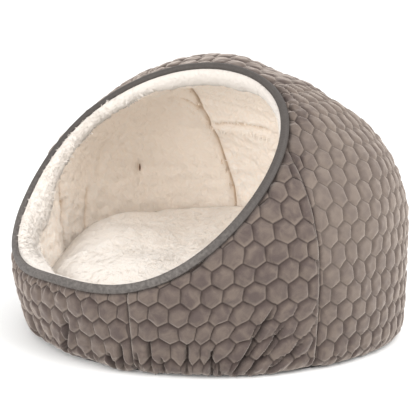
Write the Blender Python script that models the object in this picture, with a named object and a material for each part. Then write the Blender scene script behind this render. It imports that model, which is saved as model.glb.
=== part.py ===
"""A round pet cave: quilted velvet outside, plush inside, a bound mouth and a loose cushion.

The body is a low dome, open in front from just above the floor to the crown. Every cloth piece
lies at its own depth below one dome surface, so that neighbours keep an even gap. The front is
-Y, +X is on the right of someone who looks in, and the floor is z = 0. Lengths are in metres.
"""
import math

import bmesh
import bpy
import numpy as np

# Body, outside
HALF_WIDTH = 0.225
FRONT_DEPTH = 0.230
BACK_DEPTH = 0.1915
CROWN_HEIGHT = 0.297
WALL_HEIGHT = 0.126
FRONT_LEAN = 0.073          # the foot of the front wall is drawn in by this share
HEM_RADIUS = 0.015          # the wall curls under at the floor
HEM_TURN = math.radians(80)
CROWN_SWAY = -0.0054        # the crown leans a little to the left
PLAN_SHIFT = (FRONT_DEPTH - BACK_DEPTH) / 2  # sets the origin in the middle of the plan

# Cloth
VELVET_THICKNESS = 0.0087   # velvet, wadding and backing, quilted together
LINING_THICKNESS = 0.0080   # long plush on its backing
CLOTH_GAP = 0.0003
SEAM_GAP = 0.0008           # between two panels' edges, where the cloth turns in to its seam
TAPE_HALF_WIDTH = 0.0050    # along the cloth
TAPE_HALF_DEPTH = 0.0044    # through the cloth
TAPE_GAP = 0.0008           # between the tape and the velvet's edge
LINING_LIP = 0.0015         # the lining stands this far past the bound edge
BASE_THICKNESS = 0.0050

# Cushion
CUSHION_CLEARANCE = 0.0025
CUSHION_SEAM_HEIGHT = 0.046
CUSHION_CROWN = 0.046       # rise of the top above the side seam
CUSHION_TILT = 0.020        # the back edge rides this far up the wall, the front edge dips as much
CUSHION_TOP_FLATNESS = 5    # the higher, the flatter the top and the tighter its edge
CUSHION_UNDER_FLATNESS = 7
CUSHION_CONTACT = 1.25      # above 1, more of the underside lies flat
CUSHION_PUCKER = 0.0016     # how far the side seam draws the edge in
CUSHION_PUCKERS = 11

# The dome is laid out on a unit disc: the crown is its middle and the hem is its edge.
WALL_START = 0.779
CROWN_ROUNDNESS = 0.954
CROWN_SLOPE = 0.0583
CROWN_DIP_ALONG = -0.3807
CROWN_DIP_ACROSS = -0.0207
SHOULDER_RISE = 0.2187

# The mouth on that disc: distance from its middle, as cosines and sines of the turn from the front
MOUTH_MIDDLE = -0.424
MOUTH_EVEN = (0.410, -0.007, -0.050, -0.008, -0.004)
MOUTH_ODD = (0.0, 0.026, -0.039, 0.023)

# Seams, anticlockwise from above, in degrees from +X: heading on the mouth's edge, heading at the
# hem, and the number of grid columns up to the next seam
SEAMS = (
    ("front", -42.0, -67.0, 24),
    ("right_side", 38.0, -17.0, 10),
    ("right_back", 63.0, 60.0, 10),
    ("left_back", 117.0, 120.0, 10),
    ("left_side", 142.0, 197.0, 22),
    ("front_again", 318.0, 293.0, 0),
)
WALL_ROWS = 9
HEM_ROWS = 3

# Deep folds in the front wall: heading and height of the top and the foot, depth, half width
FOLDS = (
    (-31.3, 0.061, -38.5, 0.008, 0.0058, 0.0070),
    (-22.1, 0.052, -29.5, 0.008, 0.0050, 0.0065),
    (-43.1, 0.058, -49.5, 0.006, 0.0044, 0.0065),
    (-59.0, 0.042, -60.5, 0.006, 0.0036, 0.0065),
    (-73.0, 0.048, -74.0, 0.005, 0.0042, 0.0090),
    (-86.0, 0.055, -91.7, 0.005, 0.0048, 0.0100),
    (-107.0, 0.034, -108.0, 0.005, 0.0034, 0.0100),
)
GATHER_DEPTH = 0.0026
GATHER_HEIGHT = 0.022
GATHER_FOOT = 0.005         # the hem's underside stays plain up to this height
GATHERS_ROUND = 26
GATHER_DRIFT = 1.5          # uneven spacing, in radians of the gathers' own wave
GATHER_DRIFTS_ROUND = 5


def dome_surface(east, north, curled):
    """Outside of the dome over points of the unit disc; curled adds the turned-under hem."""
    reach = np.maximum(np.hypot(east, north), 1e-9)
    turn = np.clip(reach / WALL_START, 0.0, 1.0) * math.pi / 2
    drop = np.clip((reach - WALL_START) / (1.0 - WALL_START), 0.0, 1.0)
    roof = WALL_HEIGHT + (CROWN_HEIGHT - WALL_HEIGHT) * np.clip(np.cos(turn), 0.0, 1.0) ** CROWN_ROUNDNESS
    height = np.where(reach <= WALL_START, roof, WALL_HEIGHT * (1.0 - drop))
    frontness = (1.0 - north / reach) / 2
    radius = np.sin(turn) * (1.0 - FRONT_LEAN * frontness * drop ** 2)
    if curled:
        hem_start = 1.0 - HEM_RADIUS / WALL_HEIGHT
        curl = np.clip((drop - hem_start) / (1.0 - hem_start), 0.0, 1.0) * HEM_TURN
        height = np.where(drop > hem_start, HEM_RADIUS * (1.0 - np.sin(curl)), height)
        radius = radius - HEM_RADIUS / HALF_WIDTH * (1.0 - np.cos(curl))
    inner = (1.0 - reach ** 2) ** 2
    height = height + inner * (
        CROWN_SLOPE * north
        + CROWN_DIP_ALONG * north ** 2
        + CROWN_DIP_ACROSS * east ** 2
        + SHOULDER_RISE * east ** 2 * north
    )
    depth = BACK_DEPTH + (FRONT_DEPTH - BACK_DEPTH) * frontness
    x = HALF_WIDTH * radius * east / reach + CROWN_SWAY * (height / CROWN_HEIGHT) ** 2
    y = depth * radius * north / reach
    return np.stack([x, y, height], axis=-1)


def below_surface(east, north, inset, curled):
    """Points at the given depth below the dome's outside, along its normal."""
    step = 1e-4
    along_east = dome_surface(east + step, north, curled) - dome_surface(east - step, north, curled)
    along_north = dome_surface(east, north + step, curled) - dome_surface(east, north - step, curled)
    normal = np.cross(along_east, along_north)
    normal /= np.linalg.norm(normal, axis=-1)[..., None]
    return dome_surface(east, north, curled) - normal * np.asarray(inset)[..., None]


def mouth_edge(heading):
    """Disc point on the mouth's edge in the given direction from the mouth's middle."""
    turn = heading + math.pi / 2
    reach = sum(size * math.cos(k * turn) for k, size in enumerate(MOUTH_EVEN))
    reach += sum(size * math.sin(k * turn) for k, size in enumerate(MOUTH_ODD))
    return np.array([reach * math.sin(turn), MOUTH_MIDDLE - reach * math.cos(turn)])


def make_stations():
    """Grid columns round the body, as pairs of headings, and the first column of each seam."""
    stations = []
    seam_columns = {}
    for seam, following in zip(SEAMS, SEAMS[1:]):
        seam_columns[seam[0]] = len(stations)
        columns = seam[3]
        for k in range(columns):
            share = k / columns
            at_mouth = seam[1] + share * (following[1] - seam[1])
            at_hem = seam[2] + share * (following[2] - seam[2])
            stations.append((math.radians(at_mouth), math.radians(at_hem)))
    seam_columns[SEAMS[-1][0]] = len(stations)
    stations.append(stations[0])
    return stations, seam_columns


STATIONS, SEAM_COLUMNS = make_stations()
HEM_REACH = 1.0 - (1.0 - WALL_START) * HEM_RADIUS / WALL_HEIGHT
MOUTH_SAMPLES = np.array([mouth_edge(heading) for heading in np.linspace(0.0, math.tau, 721)])
MOUTH_LINE = below_surface(MOUTH_SAMPLES[:, 0], MOUTH_SAMPLES[:, 1], VELVET_THICKNESS / 2, False)


def column_on_disc(station):
    """Disc points down one column: the lining's lip, the wall rows, then the hem rows."""
    at_mouth, at_hem = station
    top = mouth_edge(at_mouth)
    foot = HEM_REACH * np.array([math.cos(at_hem), math.sin(at_hem)])
    shares = np.linspace(0.0, 1.0, 101)
    line = top + shares[:, None] * (foot - top)
    points = below_surface(line[:, 0], line[:, 1], VELVET_THICKNESS / 2, False)
    lengths = np.concatenate([[0.0], np.cumsum(np.linalg.norm(np.diff(points, axis=0), axis=1))])
    from_mouth = np.linalg.norm(points[:, None] - MOUTH_LINE[None], axis=2).min(axis=1)
    from_mouth = np.maximum.accumulate(from_mouth)
    edge = TAPE_HALF_WIDTH + TAPE_GAP
    start = np.interp(edge, from_mouth, lengths)
    wall = np.interp(np.linspace(start, lengths[-1], WALL_ROWS + 1), lengths, shares)
    lip = -wall[0] * LINING_LIP / edge
    rows = [top + share * (foot - top) for share in (lip, *wall)]
    for k in range(1, HEM_ROWS + 1):
        reach = HEM_REACH + (1.0 - HEM_REACH) * k / HEM_ROWS
        rows.append(foot * reach / HEM_REACH)
    return np.array(rows)


DISC = np.array([column_on_disc(station) for station in STATIONS])


def wall_troughs(points):
    """How deep the folds and the gathers at the hem press into the velvet, for points on the wall."""
    heading = np.degrees(np.arctan2(points[..., 1], points[..., 0]))
    height = points[..., 2]
    press = np.zeros(heading.shape)
    for top_heading, top_height, foot_heading, foot_height, depth, half_width in FOLDS:
        run = math.radians(foot_heading - top_heading) * HALF_WIDTH
        fall = foot_height - top_height
        across = np.radians(heading - top_heading) * HALF_WIDTH
        down = height - top_height
        share = np.clip((across * run + down * fall) / (run ** 2 + fall ** 2), 0.0, 1.0)
        distance = np.hypot(across - share * run, down - share * fall)
        press = np.maximum(press, depth * np.exp(-((distance / half_width) ** 2)))
    drift = GATHER_DRIFT * np.sin(np.radians(heading) * GATHER_DRIFTS_ROUND)
    wave = 0.5 + 0.5 * np.sin(np.radians(heading) * GATHERS_ROUND + drift)
    fade = np.clip(1.0 - height / GATHER_HEIGHT, 0.0, 1.0) * np.clip(height / GATHER_FOOT, 0.0, 1.0)
    return np.maximum(press, GATHER_DEPTH * wave * fade)


def panel_disc(first_seam, last_seam, row_from, row_to):
    """Disc points of a panel, columns by rows, from one seam anticlockwise to the next."""
    first, last = SEAM_COLUMNS[first_seam], SEAM_COLUMNS[last_seam]
    if last <= first:
        last += len(STATIONS) - 1
    columns = np.arange(first, last + 1) % (len(STATIONS) - 1)
    return DISC[columns, row_from:row_to + 1]


def panel_layer(disc, inset, curled):
    """One face of a panel as an array of points, drawn in at its two seams."""
    points = below_surface(disc[..., 0], disc[..., 1], inset, curled)
    for edge, neighbour in ((0, 1), (-1, -2)):
        seam = np.gradient(points[edge], axis=0)
        seam /= np.linalg.norm(seam, axis=1)[:, None]
        inward = points[neighbour] - points[edge]
        inward -= np.sum(inward * seam, axis=1)[:, None] * seam
        inward /= np.linalg.norm(inward, axis=1)[:, None]
        points[edge] += inward * SEAM_GAP / 2
    return points


def add_object(name, mesh_builder, material, smooth_angle=40.0):
    """Link a new mesh object, closed and facing outwards, to the model's collection."""
    bm = bmesh.new()
    mesh_builder(bm)
    bmesh.ops.recalc_face_normals(bm, faces=bm.faces)
    if bm.calc_volume(signed=True) < 0.0:
        bmesh.ops.reverse_faces(bm, faces=bm.faces)
    mesh = bpy.data.meshes.new(name)
    bm.to_mesh(mesh)
    bm.free()
    mesh.shade_smooth()
    mesh.set_sharp_from_angle(angle=math.radians(smooth_angle))
    mesh.materials.append(material)
    piece = bpy.data.objects.new(name, mesh)
    piece.location.y = PLAN_SHIFT
    MODEL.objects.link(piece)


def lay_panel(outside, inside):
    """A builder for a sheet between two point arrays: a thickened grid, laid vertex by vertex."""
    columns, rows = outside.shape[0] - 1, outside.shape[1] - 1

    def build(bm):
        bmesh.ops.create_grid(bm, x_segments=columns, y_segments=rows, size=0.5)
        grown = bmesh.ops.extrude_face_region(bm, geom=list(bm.faces))
        lifted = {item for item in grown["geom"] if isinstance(item, bmesh.types.BMVert)}
        for vert in bm.verts:
            column = round((vert.co.x + 0.5) * columns)
            row = round((vert.co.y + 0.5) * rows)
            vert.co = (outside if vert in lifted else inside)[column, row]

    return build


def outer_panel(name, first_seam, last_seam):
    """A quilted velvet panel, from the tape's edge down to the curled hem."""
    disc = panel_disc(first_seam, last_seam, 1, 1 + WALL_ROWS + HEM_ROWS)
    press = wall_troughs(dome_surface(disc[..., 0], disc[..., 1], True))
    press[0] = press[-1] = 0.0
    outside = panel_layer(disc, press, True)
    inside = panel_layer(disc, VELVET_THICKNESS, True)
    add_object(name, lay_panel(outside, inside), VELVET)


def lining_panel(name, first_seam, last_seam):
    """A plush lining panel behind the velvet, from its lip down to just above the hem's curl."""
    disc = panel_disc(first_seam, last_seam, 0, 1 + WALL_ROWS)
    depth = VELVET_THICKNESS + CLOTH_GAP
    outside = panel_layer(disc, depth, False)
    inside = panel_layer(disc, depth + LINING_THICKNESS, False)
    add_object(name, lay_panel(outside, inside), PLUSH)


def rim_binding():
    """The tape round the mouth: an oval ring, laid half way through the velvet's edge."""
    around = len(STATIONS) - 1
    sides = 8
    middle = np.array([mouth_edge(at_mouth) for at_mouth, _ in STATIONS[:-1]])
    half = VELVET_THICKNESS / 2
    centre = below_surface(middle[:, 0], middle[:, 1], half, False)
    outward = (centre - below_surface(middle[:, 0], middle[:, 1], half + 0.001, False)) / 0.001
    run = np.roll(centre, -1, axis=0) - np.roll(centre, 1, axis=0)
    run /= np.linalg.norm(run, axis=1)[:, None]
    along_cloth = np.cross(outward, run)

    def build(bm):
        bmesh.ops.create_grid(bm, x_segments=around, y_segments=sides, size=0.5)
        for vert in bm.verts:
            station = round((vert.co.x + 0.5) * around) % around
            side = (vert.co.y + 0.5) * math.tau
            reach_out = TAPE_HALF_DEPTH * math.cos(side)
            reach_along = TAPE_HALF_WIDTH * math.sin(side)
            vert.co = centre[station] + reach_out * outward[station] + reach_along * along_cloth[station]
        bmesh.ops.remove_doubles(bm, verts=bm.verts, dist=1e-5)

    add_object("rim_binding", build, TAPE)


def base_panel():
    """The flat bottom cloth, cut to lie inside the curled hem."""
    around = len(STATIONS) - 1
    inset = BASE_THICKNESS / math.tan(HEM_TURN) + 1.5 * CLOTH_GAP
    headings = np.array([at_hem for _, at_hem in STATIONS[:-1]])
    hem = dome_surface(np.cos(headings), np.sin(headings), True)
    reach = np.linalg.norm(hem[:, :2], axis=1)
    outline = hem[:, :2] * (1.0 - inset / reach)[:, None]

    def build(bm):
        bmesh.ops.create_cone(bm, cap_ends=True, segments=around, radius1=1.0, radius2=1.0, depth=1.0)
        turns = sorted({round(math.atan2(vert.co.y, vert.co.x) % math.tau, 4) for vert in bm.verts})
        for vert in bm.verts:
            station = turns.index(round(math.atan2(vert.co.y, vert.co.x) % math.tau, 4))
            height = BASE_THICKNESS if vert.co.z > 0 else 0.0
            vert.co = (*outline[station], height)

    add_object("base_panel", build, BASE_CLOTH)


def cushion():
    """One filled cushion: flat where it lies, drawn in at its side seam, crowned on top."""
    around, rings = 36, 10
    ring_spread = 0.6       # below 1, the rings crowd towards the edge
    depth = VELVET_THICKNESS + CLOTH_GAP + LINING_THICKNESS + CUSHION_CLEARANCE
    bottom = BASE_THICKNESS + CLOTH_GAP

    def room(heading, height):
        """Floor plan point just clear of the lining, on the disc's heading and at a height."""
        drop = 1.0 - min(max(height, 0.0), WALL_HEIGHT) / WALL_HEIGHT
        reach = WALL_START + (1.0 - WALL_START) * drop
        east, north = reach * math.cos(heading), reach * math.sin(heading)
        return below_surface(east, north, depth, False)[:2]

    def build(bm):
        bmesh.ops.create_uvsphere(bm, u_segments=around, v_segments=rings, radius=1.0)
        for vert in bm.verts:
            heading = math.atan2(vert.co.y, vert.co.x)
            share = math.hypot(vert.co.x, vert.co.y) ** ring_spread
            seam_height = CUSHION_SEAM_HEIGHT + CUSHION_TILT * share * math.sin(heading)
            if vert.co.z > 0:
                height = seam_height + CUSHION_CROWN * (1.0 - share ** CUSHION_TOP_FLATNESS)
            else:
                fall = CUSHION_CONTACT * (1.0 - share ** CUSHION_UNDER_FLATNESS)
                height = seam_height - (seam_height - bottom) * min(1.0, fall)
            wave = 0.5 + 0.5 * math.cos(CUSHION_PUCKERS * heading)
            pucker = CUSHION_PUCKER * wave * share ** CUSHION_TOP_FLATNESS
            plan = room(heading, height) * share * (1.0 - pucker / HALF_WIDTH)
            vert.co = (*plan, height)

    add_object("cushion", build, PLUSH)


def make_material(name, colour, roughness):
    """A plain cloth finish; the colour is linear."""
    material = bpy.data.materials.new(name)
    material.use_nodes = True
    shader = material.node_tree.nodes["Principled BSDF"]
    shader.inputs["Base Color"].default_value = (*colour, 1.0)
    shader.inputs["Roughness"].default_value = roughness
    shader.inputs["Metallic"].default_value = 0.0
    return material


for leftover in list(bpy.data.objects):
    bpy.data.objects.remove(leftover)

MODEL = bpy.data.collections.new("quilted_cave")
bpy.context.scene.collection.children.link(MODEL)

VELVET = make_material("taupe_velvet", (0.26, 0.22, 0.19), 0.85)
PLUSH = make_material("cream_plush", (0.87, 0.80, 0.72), 0.95)
TAPE = make_material("grey_tape", (0.19, 0.18, 0.175), 0.7)
BASE_CLOTH = make_material("grey_base_cloth", (0.12, 0.11, 0.105), 0.9)

outer_panel("outer_front_right", "front", "right_side")
outer_panel("outer_side_right", "right_side", "right_back")
outer_panel("outer_crown_back", "right_back", "left_back")
outer_panel("outer_side_left", "left_back", "left_side")
outer_panel("outer_front_left", "left_side", "front")
lining_panel("lining_front", "left_side", "right_side")
lining_panel("lining_side_right", "right_side", "right_back")
lining_panel("lining_crown_back", "right_back", "left_back")
lining_panel("lining_side_left", "left_back", "left_side")
rim_binding()
base_panel()
cushion()
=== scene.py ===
"""Looks of a round pet cave: quilted velvet, plush lining, bound mouth and loose cushion."""
import math

import bpy
import numpy as np
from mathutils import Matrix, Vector


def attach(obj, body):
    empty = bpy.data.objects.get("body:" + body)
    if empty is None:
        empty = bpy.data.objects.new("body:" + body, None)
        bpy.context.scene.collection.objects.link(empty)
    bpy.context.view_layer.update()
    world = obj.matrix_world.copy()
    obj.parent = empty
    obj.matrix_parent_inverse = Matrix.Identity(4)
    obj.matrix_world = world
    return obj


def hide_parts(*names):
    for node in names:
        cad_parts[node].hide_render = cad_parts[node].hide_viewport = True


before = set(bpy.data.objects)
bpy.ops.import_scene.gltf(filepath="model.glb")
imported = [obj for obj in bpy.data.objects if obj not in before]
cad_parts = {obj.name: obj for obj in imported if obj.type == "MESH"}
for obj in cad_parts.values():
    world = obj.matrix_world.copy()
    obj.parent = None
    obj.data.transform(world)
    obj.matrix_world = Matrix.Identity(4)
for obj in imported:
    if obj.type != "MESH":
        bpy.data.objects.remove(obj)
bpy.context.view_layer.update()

# --- Camera -------------------------------------------------------------------
# Seen from the right of the mouth and a little above, from about a metre and a half, through a
# lens long enough to keep the round body from looking swollen.
CAMERA_TURN = math.radians(45.0)
CAMERA_RISE = math.radians(11.45)
CAMERA_DISTANCE = 1.575
CAMERA_LENS = 121.35
CAMERA_SENSOR = 36.0
BODY_MIDDLE = Vector((0.0, 0.01925, 0.1575))
AIM_LEFT = 0.0048
AIM_BELOW = 0.0313

back = Vector((
    math.sin(CAMERA_TURN) * math.cos(CAMERA_RISE),
    -math.cos(CAMERA_TURN) * math.cos(CAMERA_RISE),
    math.sin(CAMERA_RISE),
))
right = Vector((math.cos(CAMERA_TURN), math.sin(CAMERA_TURN), 0.0))
camera = bpy.data.objects.new("camera", bpy.data.cameras.new("camera"))
camera.data.sensor_width = CAMERA_SENSOR
camera.data.lens = CAMERA_LENS
camera.location = BODY_MIDDLE + back * CAMERA_DISTANCE
aim = BODY_MIDDLE - right * AIM_LEFT - back.cross(right) * AIM_BELOW
camera.rotation_euler = (aim - camera.location).to_track_quat("-Z", "Y").to_euler()
bpy.context.scene.collection.objects.link(camera)
bpy.context.scene.camera = camera
bpy.context.scene.view_settings.view_transform = "Standard"

# --- Base round ---------------------------------------------------------------
# The bottom is one round of hard-wearing woven cloth with a grip print, sewn to the hem of the
# velvet. It lies flat on the floor, and the body's shape starts from its outline.
HALF_WIDTH = 0.225
FRONT_DEPTH = 0.230
BACK_DEPTH = 0.1915
PLAN_SHIFT = np.array([0.0, (FRONT_DEPTH - BACK_DEPTH) / 2, 0.0])
CROWN_HEIGHT = 0.297
WALL_HEIGHT = 0.126
FRONT_LEAN = 0.073
HEM_RADIUS = 0.015
HEM_TURN = math.radians(80)
CROWN_SWAY = -0.0054
WALL_START = 0.779          # on the unit disc that the dome is laid out on
CROWN_ROUNDNESS = 0.954
CROWN_SLOPE = 0.0583
CROWN_DIP_ALONG = -0.3807
CROWN_DIP_ACROSS = -0.0207
SHOULDER_RISE = 0.2187
HEM_REACH = 1.0 - (1.0 - WALL_START) * HEM_RADIUS / WALL_HEIGHT


def dome_surface(disc, curled=False):
    """Outside of the dome over points of the unit disc; curled adds the turned-under hem."""
    east, north = disc[..., 0], disc[..., 1]
    reach = np.maximum(np.hypot(east, north), 1e-9)
    turn = np.clip(reach / WALL_START, 0.0, 1.0) * math.pi / 2
    drop = np.clip((reach - WALL_START) / (1.0 - WALL_START), 0.0, 1.0)
    arch = np.clip(np.cos(turn), 0.0, 1.0) ** CROWN_ROUNDNESS
    roof = WALL_HEIGHT + (CROWN_HEIGHT - WALL_HEIGHT) * arch
    height = np.where(reach <= WALL_START, roof, WALL_HEIGHT * (1.0 - drop))
    frontness = (1.0 - north / reach) / 2
    radius = np.sin(turn) * (1.0 - FRONT_LEAN * frontness * drop ** 2)
    if curled:
        hem_start = 1.0 - HEM_RADIUS / WALL_HEIGHT
        curl = np.clip((drop - hem_start) / (1.0 - hem_start), 0.0, 1.0) * HEM_TURN
        height = np.where(drop > hem_start, HEM_RADIUS * (1.0 - np.sin(curl)), height)
        radius = radius - HEM_RADIUS / HALF_WIDTH * (1.0 - np.cos(curl))
    inner = np.clip(1.0 - reach ** 2, 0.0, 1.0) ** 2
    height = height + inner * (
        CROWN_SLOPE * north
        + CROWN_DIP_ALONG * north ** 2
        + CROWN_DIP_ACROSS * east ** 2
        + SHOULDER_RISE * east ** 2 * north
    )
    depth = BACK_DEPTH + (FRONT_DEPTH - BACK_DEPTH) * frontness
    x = HALF_WIDTH * radius * east / reach + CROWN_SWAY * (height / CROWN_HEIGHT) ** 2
    y = depth * radius * north / reach
    return np.stack([x, y, height], axis=-1)


def below_surface(disc, inset, curled=False):
    """Points at the given depth below the dome's outside, along its normal."""
    step = np.array([1e-4, 0.0])
    along_east = dome_surface(disc + step, curled) - dome_surface(disc - step, curled)
    along_north = dome_surface(disc + step[::-1], curled) - dome_surface(disc - step[::-1], curled)
    normal = np.cross(along_east, along_north)
    normal /= np.linalg.norm(normal, axis=-1)[..., None]
    return dome_surface(disc, curled) - normal * np.asarray(inset)[..., None]


def toward(turn):
    """Plan vectors of length 1 at the given turns from east."""
    return np.stack([np.cos(turn), np.sin(turn)], axis=-1)


def around(count):
    """The given number of turns, spaced evenly all the way round."""
    return np.linspace(0.0, math.tau, count, endpoint=False)


def ring_faces(index):
    """Faces between the rows of a grid of point numbers, each row closed on itself."""
    onward = np.roll(index, -1, axis=1)
    return np.stack([index[:-1], onward[:-1], onward[1:], index[1:]], axis=-1).reshape(-1, 4).tolist()


def linear(hex_colour):
    """A colour as the shaders take it, from its sRGB hex value."""
    channels = [int(hex_colour[k:k + 2], 16) / 255 for k in (1, 3, 5)]
    return (*[c / 12.92 if c <= 0.04045 else ((c + 0.055) / 1.055) ** 2.4 for c in channels], 1.0)


def new_material(name, **constants):
    """A material, its node tree and its shader, whose sockets get the constants that their names give."""
    material = bpy.data.materials.new(name)
    material.use_nodes = True
    shader = material.node_tree.nodes["Principled BSDF"]
    for socket, value in constants.items():
        shader.inputs[socket.replace("_", " ")].default_value = value
    return material, material.node_tree, shader


def add_node(tree, kind, inputs=(), output=0, **settings):
    """Adds a node with its own settings, and gives one of its outputs. Its inputs, the first ones in
    order or the named ones, are values or links."""
    node = tree.nodes.new("ShaderNode" + kind)
    for name, value in settings.items():
        setattr(node, name, value)
    pairs = inputs.items() if isinstance(inputs, dict) else enumerate(inputs)
    for socket, value in pairs:
        if isinstance(value, bpy.types.NodeSocket):
            tree.links.new(value, node.inputs[socket])
        else:
            node.inputs[socket].default_value = value
    return node.outputs[output]


def link_look(tree, shader, tint, relief):
    """Gives a shader its colour and its relief."""
    tree.links.new(tint, shader.inputs["Base Color"])
    tree.links.new(relief, shader.inputs["Normal"])


def keep_painted_light_and_tone(mesh, painted_light_and_tone):
    """Gives each point of a mesh its painted light and shade, and its own tone, which its material reads.
    """
    layer = mesh.attributes.new("painted_light_and_tone", "FLOAT", "POINT")
    layer.data.foreach_set("value", painted_light_and_tone.astype(np.float32))


def add_piece(name, points, faces, material, painted_light_and_tone=None, cloth_uv=None):
    """Links a mesh in the body's own place, rides it on the body and gives it its material. Each
    point can keep its painted light and tone, and its place on the cloth."""
    mesh = bpy.data.meshes.new(name)
    mesh.from_pydata((points + PLAN_SHIFT).tolist(), [], faces)
    mesh.shade_smooth()
    if cloth_uv is not None:
        corners = np.zeros(len(mesh.loops), np.int32)
        mesh.loops.foreach_get("vertex_index", corners)
        layer = mesh.uv_layers.new(name="cloth")
        layer.data.foreach_set("uv", cloth_uv[corners].astype(np.float32).ravel())
    if painted_light_and_tone is not None:
        keep_painted_light_and_tone(mesh, painted_light_and_tone)
    mesh.materials.append(material)
    piece = bpy.data.objects.new(name, mesh)
    bpy.context.scene.collection.objects.link(piece)
    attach(piece, "root")
    return piece


# Woven polyester: flat and dull, with rows of small rubbery grip dots a shade lighter
BASE_GREY = "#3E3C3B"
BASE_DOT_GREY = "#545150"
DOT_PITCH_MM = 6.0
DOT_EDGE = (0.30, 0.24)     # in pitches from a dot's middle: the cloth, and the full dot
DOT_HEIGHT = 0.0006

base_cloth, tree, shader = new_material("woven_base_cloth", Roughness=0.85)
place = add_node(tree, "TexCoord", output="Object")
dots = add_node(tree, "TexVoronoi", {"Vector": place, "Scale": 1000 / DOT_PITCH_MM, "Randomness": 0.0})
dots = add_node(tree, "MapRange", (dots, *DOT_EDGE))
tint = add_node(tree, "Mix", {0: dots, 6: linear(BASE_GREY), 7: linear(BASE_DOT_GREY)}, 2, data_type="RGBA")
raised = add_node(tree, "Bump", {"Height": dots, "Distance": DOT_HEIGHT})
link_look(tree, shader, tint, raised)

BASE_THICKNESS = 0.005
BASE_EDGE_ROUND = 0.0015
BASE_EDGE_STEPS = 4
BASE_INSET = 0.0014
BASE_RINGS = 30
BASE_COLUMNS = 180

turns = around(BASE_COLUMNS)
hem_line = dome_surface(toward(turns), True)[:, :2]
outline = hem_line * (1.0 - BASE_INSET / np.linalg.norm(hem_line, axis=1))[:, None]
shares = np.linspace(0.0, 1.0 - BASE_EDGE_ROUND / HALF_WIDTH, BASE_RINGS)[1:]
levels = [(share, 0.0) for share in shares]
for turn in np.linspace(0.0, math.pi / 2, BASE_EDGE_STEPS + 1)[1:]:
    rise = BASE_EDGE_ROUND * (1.0 - math.cos(turn))
    levels.append((1.0 - BASE_EDGE_ROUND * (1.0 - math.sin(turn)) / HALF_WIDTH, rise))
levels += [(share, BASE_THICKNESS) for share in shares[::-1]]
rings = [np.column_stack([outline * share, np.full(BASE_COLUMNS, rise)]) for share, rise in levels]
points = np.concatenate([*rings, [[0.0, 0.0, 0.0], [0.0, 0.0, BASE_THICKNESS]]])
index = np.arange(len(rings) * BASE_COLUMNS).reshape(-1, BASE_COLUMNS)
faces = ring_faces(index)
faces += [(b, a, index.size) for a, b in zip(index[0].tolist(), np.roll(index[0], -1).tolist())]
faces += [(a, b, index.size + 1) for a, b in zip(index[-1].tolist(), np.roll(index[-1], -1).tolist())]
base_round = add_piece("base_round", points, faces, base_cloth)
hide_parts("base_panel")

# --- Plush lining -------------------------------------------------------------
# Four panels of cream long-pile plush, sewn together along the body's seams and to the edge of
# the mouth, where the thick pile rolls over. The panels are slack and bulge between their seams.
MOUTH_MIDDLE = -0.424       # north of the disc's middle; the waves of the mouth's reach go round it
MOUTH_EVEN = (0.3952, -0.0153, -0.0478, -0.0102, -0.0051)
MOUTH_ODD = (0.0, 0.0212, -0.0426, 0.0212)
MOUTH_POINTS = 721

# Seams, anticlockwise from above: heading on the mouth's edge and at the hem, in degrees from +X
SEAMS = {
    "front": (-42.0, -67.0),
    "right_side": (38.0, -17.0),
    "right_back": (63.0, 60.0),
    "left_back": (117.0, 120.0),
    "left_side": (142.0, 197.0),
    "front_again": (318.0, 293.0),
    "right_side_again": (398.0, 343.0),
}


def mouth_edge(heading):
    """Disc points on the mouth's edge, by their direction from the mouth's middle."""
    turn = np.asarray(heading) + math.pi / 2
    reach = sum(size * np.cos(k * turn) for k, size in enumerate(MOUTH_EVEN))
    reach = reach + sum(size * np.sin(k * turn) for k, size in enumerate(MOUTH_ODD))
    return np.stack([reach * np.sin(turn), MOUTH_MIDDLE - reach * np.cos(turn)], axis=-1)


mouth_line = dome_surface(mouth_edge(np.linspace(0.0, math.tau, MOUTH_POINTS)))


def mouth_distance(points):
    """How far each point of a grid on the dome lies from the mouth's edge."""
    return np.stack([
        np.linalg.norm(column[:, None] - mouth_line[None], axis=-1).min(axis=1) for column in points
    ])


def round_mouth(disc):
    """The way round the mouth of each disc point."""
    return np.arctan2(disc[..., 1] - MOUTH_MIDDLE, disc[..., 0])


def smooth(value, low, high):
    """0 at low and 1 at high, with an even rise between."""
    share = np.clip((value - low) / (high - low), 0.0, 1.0)
    return share * share * (3.0 - 2.0 * share)


def near_heading(disc, heading, reach):
    """1 where the way round the mouth is near a heading, 0 far from it; reach gives two cosines."""
    return smooth(np.cos(round_mouth(disc) - heading), *reach)


def between(ends, share):
    """The value at a share of the way from the first end to the second."""
    return ends[0] + (ends[1] - ends[0]) * share


def bell(distance, width):
    """1 at no distance, falling away softly over the width."""
    return np.exp(-((distance / width) ** 2))


WAVES = 14
WAVE_SPREAD = (0.4, 1.2)
WAVE_GAIN = 1.2


def wander(points, size, seed):
    """A soft uneven field, about -1 to 1, whose features are about the given size in metres."""
    draw = np.random.default_rng(seed)
    field = np.zeros(points.shape[:-1])
    for _ in range(WAVES):
        direction = draw.normal(size=3)
        direction *= draw.uniform(*WAVE_SPREAD) / (size * np.linalg.norm(direction))
        field += np.sin(points @ direction * math.tau + draw.uniform(0.0, math.tau))
    return field / math.sqrt(WAVES) * WAVE_GAIN


FAN_STEPS = 241             # points that measure a column; the first of them measure off the mouth
FAN_NEAR_STEPS = 60
FAN_SLOPE_STEP = 8          # the one whose distance gives the way on into the mouth


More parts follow.
